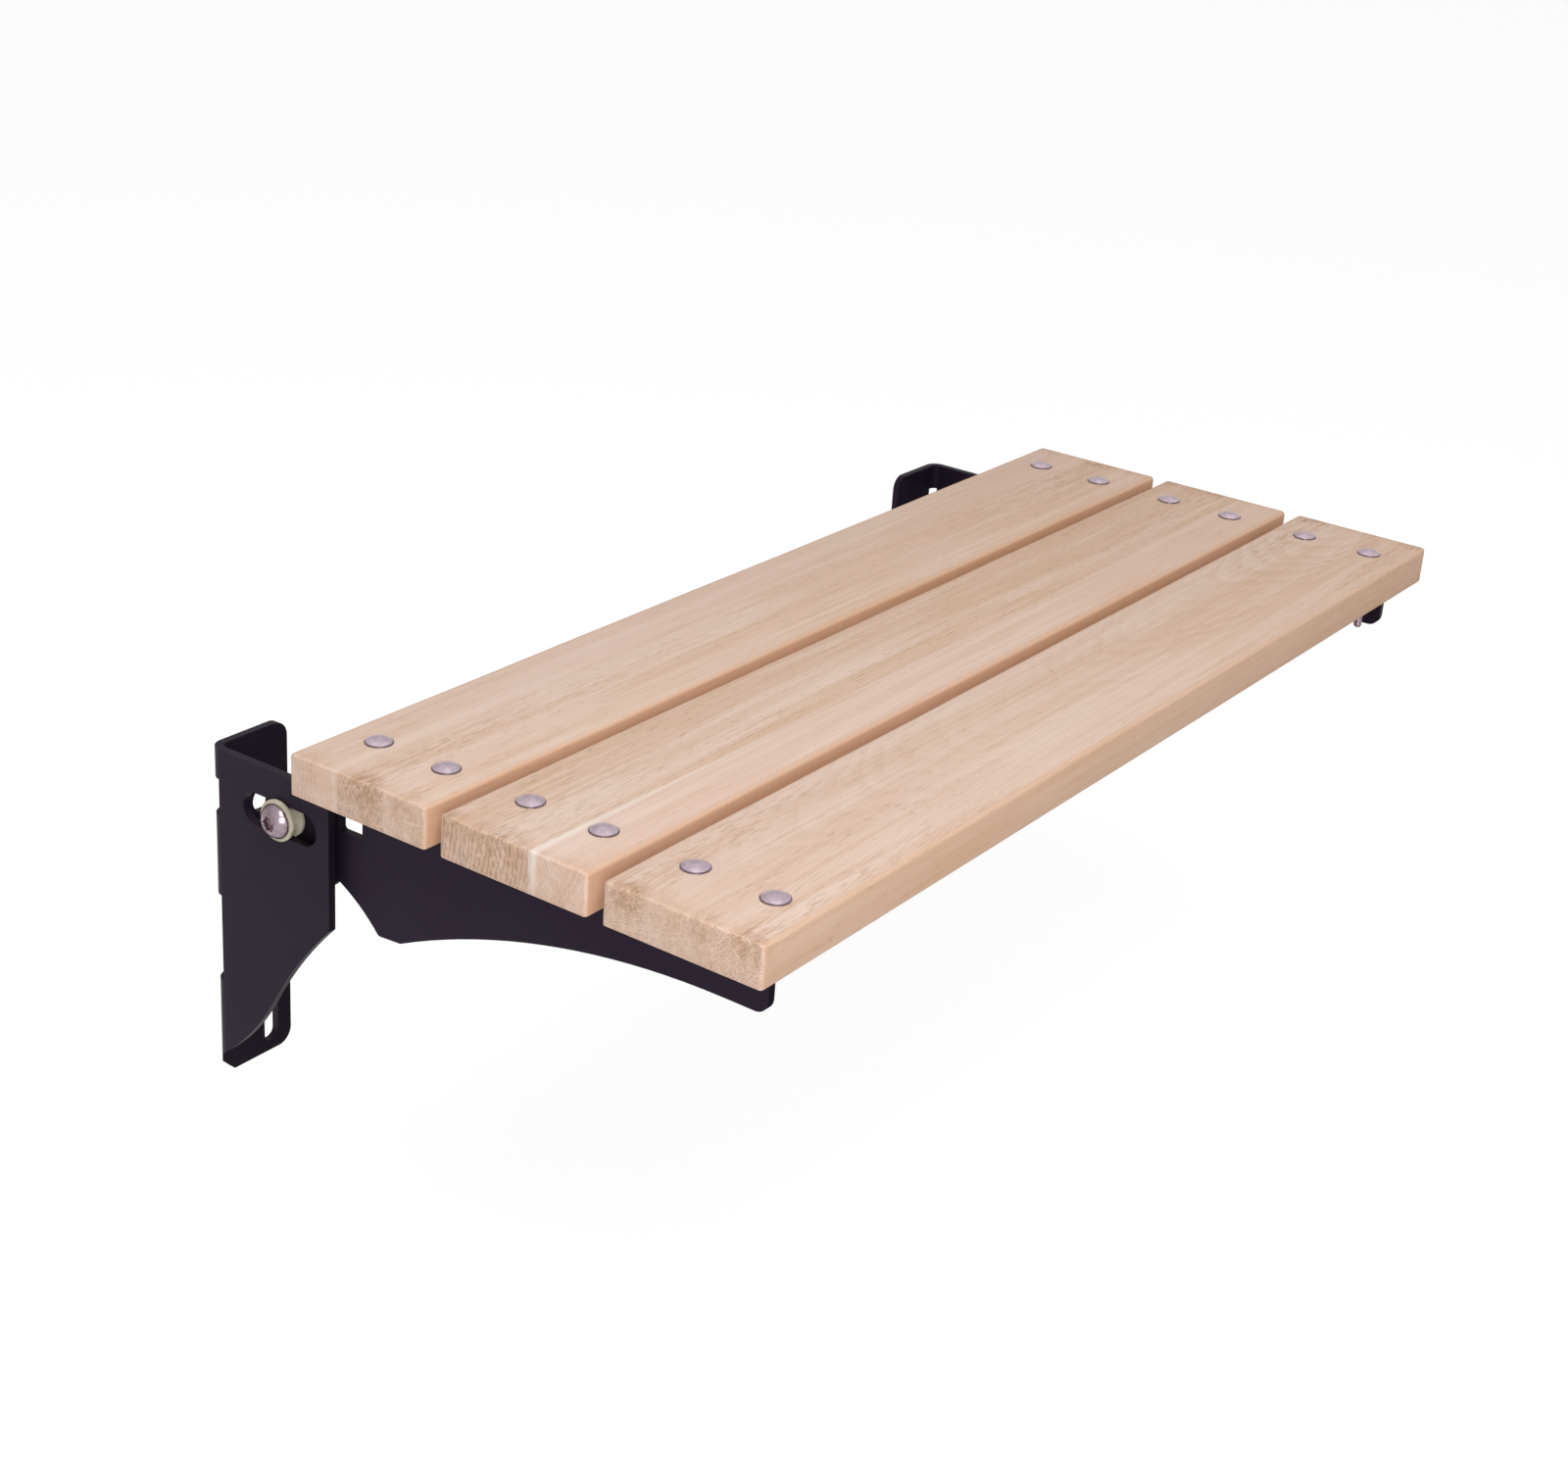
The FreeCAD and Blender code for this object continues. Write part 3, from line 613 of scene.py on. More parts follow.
        if self.glue > 0.0:
            joint = self.staves[1].start
            spread = g.ramp(x, -400.0, -250.0, 4.0, 1.6) * (rough + 0.5)
            stripe = g.ramp(g.maths("ABSOLUTE", y - joint) / spread, 0.15, 1.0, 1.0, 0.0)
            fade = g.ramp(x, -400.0, -120.0, self.glue, self.glue * 0.10) * g.ramp(z, 46.0, 68.0, 0.30, 1.0)
            layers.append((stripe * fade, self.glue_color))
        color: Wire | tuple[float, float, float] = self.pale
        for share, tone in layers:
            color = g.tinted(share, color, tone)

        height = 1.0 - dash * 0.8 - g.ramp(hair, 0.45, 0.75) * 0.18 - end * dot * 0.6
        relief = g.bump(height, 0.12)
        gloss = 0.54 + hair * 0.16 + dash * 0.15
        return g.finish(Base_Color=color, Roughness=gloss, Normal=relief, Specular_IOR_Level=0.25)


@dataclass(frozen=True)
class PowderCoat:
    """Fine black powder coat on steel, with a faint orange peel."""

    name: str = "black_powder_coat"
    color: tuple[float, float, float] = (0.0098, 0.0066, 0.0120)
    # the lighter colour of the coat's random mottle and specks
    mottle_and_arris_shade: tuple[float, float, float] = (0.0200, 0.0165, 0.0230)
    sheen: tuple[float, float, float] = (0.70, 0.38, 0.84)

    def material(self) -> bpy.types.Material:
        """Builds the coating.

        Returns:
            The material.
        """
        g = Graph(self.name)
        place = g.place()
        peel = g.noise(place, 0.55, 2.0, 0.45)
        grit = g.noise(place, 5.5, 1.0, 0.5)
        patch = g.noise(place, 0.014, 3.0, 0.55)
        color = g.tinted(g.ramp(patch, 0.35, 0.70) * 0.35 + g.ramp(grit, 0.62, 0.80) * 0.25, self.color, self.mottle_and_arris_shade)
        gloss = 0.42 + patch * 0.12 + grit * 0.05
        relief = g.bump(grit, 0.004, g.bump(peel, 0.012))
        tint = (*self.sheen, 1.0)
        return g.finish(
            Base_Color=color, Roughness=gloss, Normal=relief, Specular_IOR_Level=0.20, Specular_Tint=tint
        )


class Turning(Enum):
    """Which axes a metal piece's turning marks go round."""

    DECK_BOLTS = "the upright bolts through the slats"
    PIVOTS = "the two level pivots"


@dataclass(frozen=True)
class Steel:
    """Bare stainless or zinc-plated steel with turning marks, clouding and a painted shade that darkens its rim."""

    name: str
    color: tuple[float, float, float]
    dull: tuple[float, float, float]
    gloss: float
    marks: float
    turning: Turning = Turning.DECK_BOLTS
    rim_shade: tuple[float, float, float] = (0.110, 0.075, 0.085)

    def from_axis(self, graph: Graph) -> Wire:
        """Distance from the piece's own axis, in millimetres.

        The deck bolts stand at 357 mm either side and at 111 and 161 mm from the wall,
        and again 110 and 220 mm further out. The pivots are one line along X.

        Args:
            graph: The material's graph.

        Returns:
            The distance.
        """
        x, y, z = graph.split(graph.place())
        if self.turning is Turning.PIVOTS:
            first, second = y + 57.5, z - 17.0
        else:
            first = graph.maths("ABSOLUTE", x) - 357.0
            lap = graph.maths("FRACT", (0.0 - y - 81.0) / 110.0) * 110.0
            second = graph.maths("ABSOLUTE", lap - 55.0) - 25.0
        return graph.maths("SQRT", first * first + second * second)

    def material(self) -> bpy.types.Material:
        """Builds the metal.

        Returns:
            The material.
        """
        g = Graph(self.name)
        place = g.place()
        cloud = g.noise(place, 0.30, 3.0, 0.6)
        speck = g.noise(place, 3.2, 2.0, 0.6)
        away = self.from_axis(g)
        turned_marks = g.noise(g.gather(away * 5.0, 0.0, 0.0), 1.0, 2.0, 0.6)
        color = g.tinted(g.ramp(cloud, 0.36, 0.64) * 0.65 + g.ramp(speck, 0.50, 0.75) * 0.35, self.color, self.dull)
        if self.turning is Turning.DECK_BOLTS:
            # painted shade: a dark contour round the foot of each bolt dome, where it meets the wood
            color = g.tinted(g.ramp(away, 7.15, 8.05) * 0.88, color, self.rim_shade)
        else:
            # the same painted rim shade, fainter, in a band 9.7 to 10.5 mm from each pivot's axis
            color = g.tinted(g.ramp(away, 9.7, 10.5) * 0.35, color, self.rim_shade)
        gloss = self.gloss + cloud * 0.10 + (speck - 0.5) * 0.12
        relief = g.bump(turned_marks * self.marks + speck * 0.5, 0.006)
        return g.finish(Base_Color=color, Metallic=1.0, Roughness=gloss, Normal=relief)


@dataclass(frozen=True)
class Nylon:
    """Moulded nylon with a faint grain and rubbed patches."""

    name: str
    color: tuple[float, float, float]
    rubbed: tuple[float, float, float]
    gloss: float = 0.42

    def material(self) -> bpy.types.Material:
        """Builds the plastic.

        Returns:
            The material.
        """
        g = Graph(self.name)
        place = g.place()
        cloud = g.noise(place, 0.18, 3.0, 0.55)
        grain = g.noise(place, 2.6, 2.0, 0.5)
        color = g.tinted(g.ramp(cloud, 0.35, 0.70) * 0.7 + g.ramp(grain, 0.5, 0.8) * 0.2, self.color, self.rubbed)
        return g.finish(Base_Color=color, Roughness=self.gloss + grain * 0.12, Normal=g.bump(grain, 0.010))


# Pieces


class Role(NamedTuple):
    """A piece's finish, the CAD body it rides on, its material slot and the nodes it replaces."""

    material: bpy.types.Material
    body: str
    slot: str
    stands_for: tuple[str, ...]


class Workshop:
    """Turns shells into pieces that ride on the frame."""

    def __init__(self) -> None:
        """Starts with nothing made."""
        self.made = 0

    def add(self, name: str, shell: Shell, role: Role) -> None:
        """Makes a piece from a shell, with the edges sharper than CREASE kept sharp.

        Args:
            name: The piece's name.
            shell: Its surface, in millimetres.
            role: What it is.
        """
        mesh = bpy.data.meshes.new(name)
        mesh.from_pydata((shell.points * MM).tolist(), [], shell.faces)
        mesh.validate()
        mesh.shade_smooth()
        mesh.set_sharp_from_angle(angle=CREASE)
        self.place(bpy.data.objects.new(name, mesh), role)

    def place(self, piece: bpy.types.Object, role: Role) -> None:
        """Links a piece, dresses it and lets it ride on its body.

        Args:
            piece: The object.
            role: What it is.
        """
        material, body, slot, stands_for = role
        bpy.context.scene.collection.objects.link(piece)
        piece.data.materials.clear()
        piece.data.materials.append(material)
        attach(piece, body)
        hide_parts(*stands_for)
        self.made += 1
        LOG.info("%s rides on %s, %d faces", piece.name, body, len(piece.data.polygons))

    def softened(self, name: str, role: Role, edge: float) -> None:
        """The mesh of the CAD plate that a piece stands for, with its cut edges rounded.

        Args:
            name: The piece's name.
            role: What it is.
            edge: The width of the rounding, in millimetres.
        """
        mesh = bpy.data.meshes.new(name)
        work = bmesh.new()
        work.from_mesh(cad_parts[role.stands_for[0]].data)
        bmesh.ops.remove_doubles(work, verts=work.verts, dist=1e-6)
        bmesh.ops.dissolve_limit(work, angle_limit=math.radians(0.4), verts=work.verts, edges=work.edges)
        work.to_mesh(mesh)
        work.free()
        for attribute in ("custom_normal", "sharp_edge"):
            if attribute in mesh.attributes:
                mesh.attributes.remove(mesh.attributes[attribute])
        mesh.shade_smooth()
        mesh.set_sharp_from_angle(angle=CREASE)
        piece = bpy.data.objects.new(name, mesh)
        bevel = piece.modifiers.new("rounded_edges", "BEVEL")
        bevel.width = edge * MM
        bevel.segments = 3
        bevel.limit_method = "ANGLE"
        bevel.angle_limit = math.radians(40.0)
        bevel.harden_normals = True
        bevel.use_clamp_overlap = True
        self.place(piece, role)


@dataclass
class SlatDeck:
    """The three oak slats of the seat."""

    length: float = 800.0
    width: float = 100.0
    low: float = 48.5
    high: float = 73.5
    top_edge: float = 2.5
    low_edge: float = 1.0
    corner_edge: float = 2.4
    end_edge: float = 1.5
    foot_edge: float = 0.7
    corner_steps: int = 7
    bays: int = 60

    def outline(
        self, narrow: np.ndarray, top: np.ndarray, foot: np.ndarray, rear: float, sanded: np.ndarray
    ) -> np.ndarray:
        """The rounded outline of the slat's section at each place along it.

        Each corner is an arc about a point that lies one radius in from the two faces,
        which are themselves drawn in near the slat's ends.

        Args:
            narrow: How far the long faces are drawn in, at each place.
            top: How far the top is drawn in.
            foot: How far the underside is drawn in.
            rear: Y of the slat's rear face.
            sanded: The share by which sanding widens the rounding, at each place.

        Returns:
            The outlines, as an array of place, point and (Y, Z).
        """
        rows = []
        for side, up, start in ((1, 1, 0.0), (-1, 1, 90.0), (-1, -1, 180.0), (1, -1, 270.0)):
            turn = np.radians(np.linspace(start, start + 90.0, self.corner_steps))
            bend = (self.top_edge if up > 0 else self.low_edge) * (1.0 + sanded[:, None])
            face_y = (rear if side > 0 else rear - self.width) - side * narrow[:, None]
            face_z = self.high - top[:, None] if up > 0 else self.low + foot[:, None]
            center_y, center_z = face_y - side * bend, face_z - up * bend
            rows.append(np.stack([center_y + bend * np.cos(turn), center_z + bend * np.sin(turn)], axis=-1))
        return np.concatenate(rows, axis=1)

    def slat(self, rear: float, seed: float) -> Shell:
        """One slat.

        The outline runs along X. Near each end each face follows its own quarter
        circle inwards, radius less the root of radius squared less depth squared, and
        the rounding of the long edges swells and thins a little as sanding leaves it.

        Args:
            rear: Y of the slat's rear face.
            seed: Where the sanding's waves start.

        Returns:
            The slat's surface.
        """
        half = self.length / 2.0
        depth = self.corner_edge * np.sin(np.linspace(0.0, np.pi / 2.0, 11))
        tip_x = half - self.corner_edge + depth
        middle = np.linspace(-1.0, 1.0, self.bays)[1:-1] * (half - self.corner_edge)
        along = np.concatenate([-tip_x[::-1], middle, tip_x])
        left = half - np.abs(along)

        def drawn_in(reach: float) -> np.ndarray:
            """How far a face is drawn in by a quarter circle of a given radius."""
            past = np.clip(reach - left, 0.0, reach)
            return reach - np.sqrt(reach**2 - past**2)

        wave = np.sin(along / 61.0 + seed) + 0.6 * np.sin(along / 23.0 + 2.1 * seed)
        insets = [drawn_in(reach) for reach in (self.corner_edge, self.end_edge, self.foot_edge)]
        section = self.outline(*insets, rear, 0.08 * wave)
        place = np.broadcast_to(along[:, None, None], (*section.shape[:2], 1))
        return skin(np.concatenate([place, section], axis=-1))

    def build(self, shop: Workshop, finishes: dict[str, bpy.types.Material]) -> None:
        """Makes the slats.

        Args:
            shop: The workshop.
            finishes: The oak of each slat.
        """
        for seed, (node, rear) in enumerate(REARS.items()):
            name = node.replace("slat", "oak_board")
            shop.add(name, self.slat(rear, 1.7 * seed), Role(finishes[node], "seat", "oak", (node,)))


@dataclass
class SlatFixings:
    """The domed bolts through each slat, with their washers and nuts under the arms."""

    across: float = 357.0
    from_rear: tuple[float, float] = (25.0, 75.0)
    seat_top: float = 73.5
    head_radius: float = 8.25
    head_height: float = 3.4
    head_rim: float = 0.5
    neck: float = 3.0
    neck_depth: float = 4.0
    thread: float = 3.0
    thread_start: float = 31.0
    run_out: float = 0.4
    pitch: float = 1.0
    end: float = 18.5
    washer_top: float = 43.5
    washer_radius: float = 6.0
    washer_bore: float = 3.2
    washer_thick: float = 1.6
    washer_soft: float = 0.25
    nut_flat: float = 5.0
    nut_height: float = 5.0
    around: int = 48

    def head(self) -> tuple[np.ndarray, np.ndarray]:
        """Radii and heights of the dome, above the seat's top.

        The dome is the arc through the rim and the crown, and its rim rolls under.

        Returns:
            Radius and height of each ring from the crown to the underside.
        """
        rise = self.head_height - self.head_rim
        ball = (self.head_radius**2 + rise**2) / (2.0 * rise)
        sweep = math.asin(self.head_radius / ball)
        turn = np.linspace(0.0, 1.0, 15)[1:] ** 0.85 * sweep * 0.97
        radius = ball * np.sin(turn)
        height = self.head_rim + rise - ball * (1.0 - np.cos(turn))
        roll = rounded_corner((self.head_radius - 0.30, 0.42), 0.30, 50.0, -60.0, 6)
        return np.concatenate([radius, roll[:, 0]]), np.concatenate([height, roll[:, 1]])

    def bolt(self) -> Shell:
        """One carriage bolt with its axis on Z and the seat's top at height 0.

        Its rings are circles on the dome, rounded squares on the neck, and on the shank
        circles whose radius follows a helix: a triangle wave of height / pitch less
        angle / one turn.

        Returns:
            The bolt's surface.
        """
        angle = ring_angles(self.around)
        dome_radius, dome_height = self.head()
        power = 8.0
        square = self.neck / (np.abs(np.cos(angle)) ** power + np.abs(np.sin(angle)) ** power) ** (1.0 / power)
        depth = self.seat_top - self.end
        turns = np.arange(-self.thread_start, -(depth - 0.8), -self.pitch / 6.0)
        wave = np.abs(((turns[:, None] / self.pitch - angle / (2.0 * np.pi)) % 1.0) - 0.5) * 2.0
        threads = self.thread - 0.05 - 0.55 * self.pitch * wave
        plain = self.thread - 0.12
        flat = np.ones(self.around)
        radii = [dome_radius[:, None] * flat, (self.neck + 0.4) * flat[None], square[None], square[None]]
        heights = [dome_height, np.array([0.0, -0.3, -self.neck_depth])]
        radii += [plain * flat[None], plain * flat[None], threads, (self.thread - 0.9) * flat[None]]
        shank = np.array([-self.neck_depth - self.run_out, self.run_out - self.thread_start])
        heights += [shank, turns, np.array([-depth])]
        return polar(np.concatenate(radii), np.concatenate(heights))

    def washer(self) -> Shell:
        """One plain washer with stamped, slightly rounded edges, top at height 0."""
        span = (-self.washer_thick, 0.0)
        return soft_ring(span, self.washer_radius, self.washer_bore, self.washer_soft, 4, self.around)

    def nut(self) -> Shell:
        """One hexagon nut, top at height 0."""
        return hexagon_nut(self.nut_flat, self.nut_height, self.thread - 0.15)

    def build(self, shop: Workshop, head_steel: bpy.types.Material, zinc: bpy.types.Material) -> None:
        """Makes the bolts, washers and nuts of each slat.

        Args:
            shop: The workshop.
            head_steel: The finish of the bolts.
            zinc: The finish of the washers and nuts.
        """
        kinds = (
            ("bolts", self.bolt(), self.seat_top, head_steel),
            ("washers", self.washer(), self.washer_top, zinc),
            ("nuts", self.nut(), self.washer_top - self.washer_thick, zinc),
        )
        for slat, rear in REARS.items():
            rows = [rear - step for step in self.from_rear]
            for word, shell, top, material in kinds:
                copies = []
                for number, (x, y) in enumerate((x, y) for x in (-self.across, self.across) for y in rows):
                    spin = Matrix.Rotation(0.7 * number + rows[0], 4, "Z") if word != "bolts" else Matrix()
                    copies.append(shell.moved(Matrix.Translation((x, y, top)) @ spin))
                name = slat.replace("slat", "deck") + "_" + word
                shop.add(name, joined(copies), Role(material, "seat", "satin_steel", (f"{slat}_{word}",)))


def hexagon_nut(flat: float, height: float, bore: float, around: int = 48) -> Shell:
    """A hexagon nut from height 0 down, with chamfered corners and a bore.

    Its radius is the hexagon's, held within a cone of 30 degrees at both faces.

    Args:
        flat: Half the width across flats.
        height: The nut's height.
        bore: The bore's radius.
        around: How many points a ring has.

    Returns:
        The nut's surface.
    """
    chamfer, lip = 0.9, 0.45
    hexagon = polygon_radius(ring_angles(around), flat, 6)
    corner = flat / math.cos(math.pi / 6.0)
    slope = math.tan(math.radians(30.0))
    depths = np.concatenate([np.linspace(0.0, chamfer, 7), np.linspace(height - chamfer, height, 7)])
    edge = np.minimum(depths, height - depths)
    cone = (flat * 0.98 + edge / slope)[:, None]
    outer = np.minimum(np.minimum(hexagon, corner - 0.05)[None], cone)
    bores = np.array([bore + lip, bore, bore, bore + lip])[:, None] * np.ones(around)
    levels = np.array([height, height - lip, lip, 0.0])
    return polar(np.concatenate([outer, bores]), -np.concatenate([depths, levels]), hollow=True)


@dataclass
class SteelPlates:
    """The bent wall brackets and seat arms, with the stop stud welded in each bracket."""

    edge: float = 0.55
    stud_at: tuple[float, float] = (-86.0, -14.8)
    stud_radius: float = 4.0
    stud_base: float = -376.0
    stud_tip: float = -366.0
    weld_leg: float = 1.7
    weld_height: float = 1.6

    def stud(self) -> Shell:
        """The left stop stud, along X from the plate, with a rounded tip and a weld round its foot.

        The weld's radius falls from its foot as a hollow curve and ripples with the angle.

        Returns:
            The stud's surface.
        """
        angle = ring_angles(40)
        length = self.stud_tip - self.stud_base
        foot = np.linspace(0.0, 1.0, 7)
        bead = self.stud_radius + self.weld_leg * (1.0 - foot[:, None]) ** 2
        ripple = 1.0 + 0.035 * np.sin(9.0 * angle) * (1.0 - foot[:, None])
        tip = rounded_corner((self.stud_radius - 0.5, length - 0.5), 0.5, 0.0, 90.0, 5)
        radii = np.concatenate([bead * ripple, tip[:, 0][:, None] * np.ones(len(angle))])
        heights = np.concatenate([foot * self.weld_height, tip[:, 1]])
        aim = Matrix.Translation((self.stud_base, *self.stud_at)) @ Matrix.Rotation(math.pi / 2.0, 4, "Y")
        return polar(radii, heights).moved(aim)

    def build(self, shop: Workshop, coat: bpy.types.Material) -> None:
        """Makes the plates and studs of both sides.

        Args:
            shop: The workshop.
            coat: The black coat.
        """
        for side in ("left", "right"):
            bracket = Role(coat, "wall_brackets", "black_steel", (f"{side}_wall_bracket",))
            arm = Role(coat, "seat", "black_steel", (f"{side}_seat_arm",))
            post = Role(coat, "wall_brackets", "black_steel", (f"{side}_stop_stud",))
            shop.softened(f"{side}_bent_bracket", bracket, self.edge)
            shop.softened(f"{side}_bent_arm", arm, self.edge)
            stud = self.stud() if side == "left" else self.stud().mirrored()
            shop.add(f"{side}_welded_stud", stud, post)


@dataclass
class PivotSets:
    """What stands on each pivot: screw, nylon washers, roller, steel washer and lock nut."""

    at: tuple[float, float] = (-57.5, 17.0)
    head_top: float = -389.7
    head_foot: float = -383.7
    head_radius: float = 10.5
    dome_radius: float = 11.9
    crown: float = 5.2
    socket_flat: float = 4.0
    socket_depth: float = 3.6
    thread: float = 6.0
    thread_start: float = 20.0
    run_out: float = 0.4
    pitch: float = 1.75
    screw_end: float = -348.7
    outer_nylon: tuple[float, float] = (-383.7, -381.3)
    roller: tuple[float, float] = (-381.3, -375.7)
    inner_nylon: tuple[float, float] = (-375.7, -373.3)
    washer: tuple[float, float] = (-367.7, -365.2)
    nut: tuple[float, float] = (-365.2, -353.2)
    nut_flat: float = 9.5
    collar_height: float = 2.6
    collar_radii: tuple[float, float] = (8.3, 7.2)
    insert_depth: float = 3.4
    nylon_radius: float = 12.45
    roller_radius: float = 9.7
    nylon_bore: float = 6.1
    washer_radius: float = 12.0
    washer_bore: float = 6.3
    around: int = 96

    def aim(self, start: float) -> Matrix:
        """Lays a shell's Z axis along the left pivot, with height 0 at a given X."""
        return Matrix.Translation((start, *self.at)) @ Matrix.Rotation(math.pi / 2.0, 4, "Y")

    def collar(self, span: tuple[float, float], radius: float, bore: float, soft: float) -> Shell:
        """A ring round the pivot with rounded edges.

        Args:
            span: X of its two faces.
            radius: Its outer radius.
            bore: Its inner radius.
            soft: The rounding of its edges.

        Returns:
            The ring's surface, in place.
        """
        ring = soft_ring((0.0, span[1] - span[0]), radius, bore, soft, 5, self.around)
        return ring.moved(self.aim(span[0]))

    def screw(self) -> Shell:
        """The left pivot screw.

        Its rings go up the hexagon socket from its cone-shaped floor, over a chamfer
        and a low dome, round the rim, and down a shank whose radius follows a helix.

        Returns:
            The screw's surface, in place.
        """
        angle = ring_angles(self.around)
        flat = np.ones(self.around)
        hexagon = np.minimum(polygon_radius(angle, self.socket_flat, 6), self.socket_flat * 1.135)
        high = self.head_foot - self.head_top
        socket = [hexagon * 0.3, hexagon * 0.97, hexagon, hexagon]
        socket_levels = [self.socket_depth + 0.9, self.socket_depth, self.socket_depth - 0.2, 0.55]
        mouth = [np.maximum(hexagon, self.socket_flat * 1.16), (self.socket_flat * 1.30) * flat]
        mouth_levels = [0.10, 0.0]
        ball = self.dome_radius
        sweep = np.linspace(math.asin(self.crown / ball), math.asin((self.head_radius - 0.2) / ball), 16)
        dome = ball * np.sin(sweep)
        dome_levels = 0.03 + ball * (math.cos(sweep[0]) - np.cos(sweep))
        rim = rounded_corner((self.head_radius - 0.35, high - 0.38), 0.35, 20.0, -85.0, 6)
        length = self.screw_end - self.head_top
        rows = np.arange(high + self.thread_start, length - 0.9, self.pitch / 7.0)
        wave = np.abs(((rows[:, None] / self.pitch - angle / (2.0 * np.pi)) % 1.0) - 0.5) * 2.0
        threads = self.thread - 0.08 - 0.95 * wave
        rings = socket + mouth + list(dome[:, None] * flat)
        levels = socket_levels + mouth_levels + dome_levels.tolist()
        rings += [r * flat for r in rim[:, 0]]
        levels += [2.0 * (high - 0.38) - level for level in rim[:, 1]]
        rings += [self.thread * flat, self.thread * flat] + list(threads) + [(self.thread - 1.3) * flat]
        levels += [high, high + self.thread_start - self.run_out] + rows.tolist() + [length]
        return polar(np.array(rings), np.array(levels)).moved(self.aim(self.head_top))

    def lock_nut(self) -> tuple[Shell, Shell]:
        """The left lock nut and the nylon ring in its collar.

        Returns:
            The nut's and the nylon ring's surfaces, in place.
        """
        thick = self.nut[1] - self.nut[0]
        body = hexagon_nut(self.nut_flat, thick - self.collar_height, self.thread - 0.15, self.around)
        flip = Matrix.Rotation(math.pi, 4, "X")
        body = body.moved(self.aim(self.nut[0]) @ flip)
        start, end = self.nut[1] - self.insert_depth, self.nut[1]
        outer, inner = self.collar_radii
        collar = self.collar((start, end), outer, inner, 0.45)
        insert = self.collar((start, end - 0.5), inner, self.thread - 0.3, 0.3)
        return joined([body, collar]), insert

    def build(self, shop: Workshop, metals: dict[str, bpy.types.Material], nylon: bpy.types.Material) -> None:
        """Makes both pivots.

        Args:
            shop: The workshop.
            metals: The polished and the plated steel.
            nylon: The pale nylon.
        """
        body, insert = self.lock_nut()
        head_ring = self.collar(self.outer_nylon, self.nylon_radius, self.nylon_bore, 0.4)
        slot_ring = self.collar(self.roller, self.roller_radius, self.nylon_bore, 0.4)
        gap_ring = self.collar(self.inner_nylon, self.nylon_radius, self.nylon_bore, 0.4)
        steel_ring = self.collar(self.washer, self.washer_radius, self.washer_bore, 0.3)
        pale, plated = "natural_nylon", "satin_steel"
        rows = (
            ("pivot_bolt", self.screw(), metals["polished"], "polished_steel", ("pivot_screw",)),
            ("head_nylon", head_ring, nylon, pale, ("outer_nylon_washer",)),
            ("slot_nylon", slot_ring, nylon, pale, ("slot_roller",)),
            ("gap_nylon", gap_ring, nylon, pale, ("inner_nylon_washer",)),
            ("steel_washer", steel_ring, metals["plated"], plated, ("pivot_washer",)),
            ("lock_nut", body, metals["plated"], plated, ("pivot_nut",)),
            ("lock_nut_ring", insert, nylon, pale, ()),
        )
        for side in ("left", "right"):
            for word, shell, material, slot, nodes in rows:
                placed = shell if side == "left" else shell.mirrored()
                stands_for = tuple(f"{side}_{node}" for node in nodes)
                shop.add(f"{side}_{word}", placed, Role(material, "pivots", slot, stands_for))


# Studio


@dataclass(frozen=True)
class Lamp:
    """A square soft lamp that faces the seat: place and side in metres, power in watts."""

    name: str
    at: tuple[float, float, float]
    side: float
    power: float
    target: tuple[float, float, float] = (0.0, -0.2, 0.0)

    def build(self) -> None:
        """Hangs the lamp."""
        light = bpy.data.lights.new(self.name, "AREA")
        light.shape = "SQUARE"
        light.size = self.side
        light.energy = self.power
        lamp = bpy.data.objects.new(self.name, light)
        aim = Vector(self.target) - Vector(self.at)
        lamp.matrix_world = Matrix.Translation(self.at) @ aim.to_track_quat("-Z", "Y").to_matrix().to_4x4()
        bpy.context.scene.collection.objects.link(lamp)


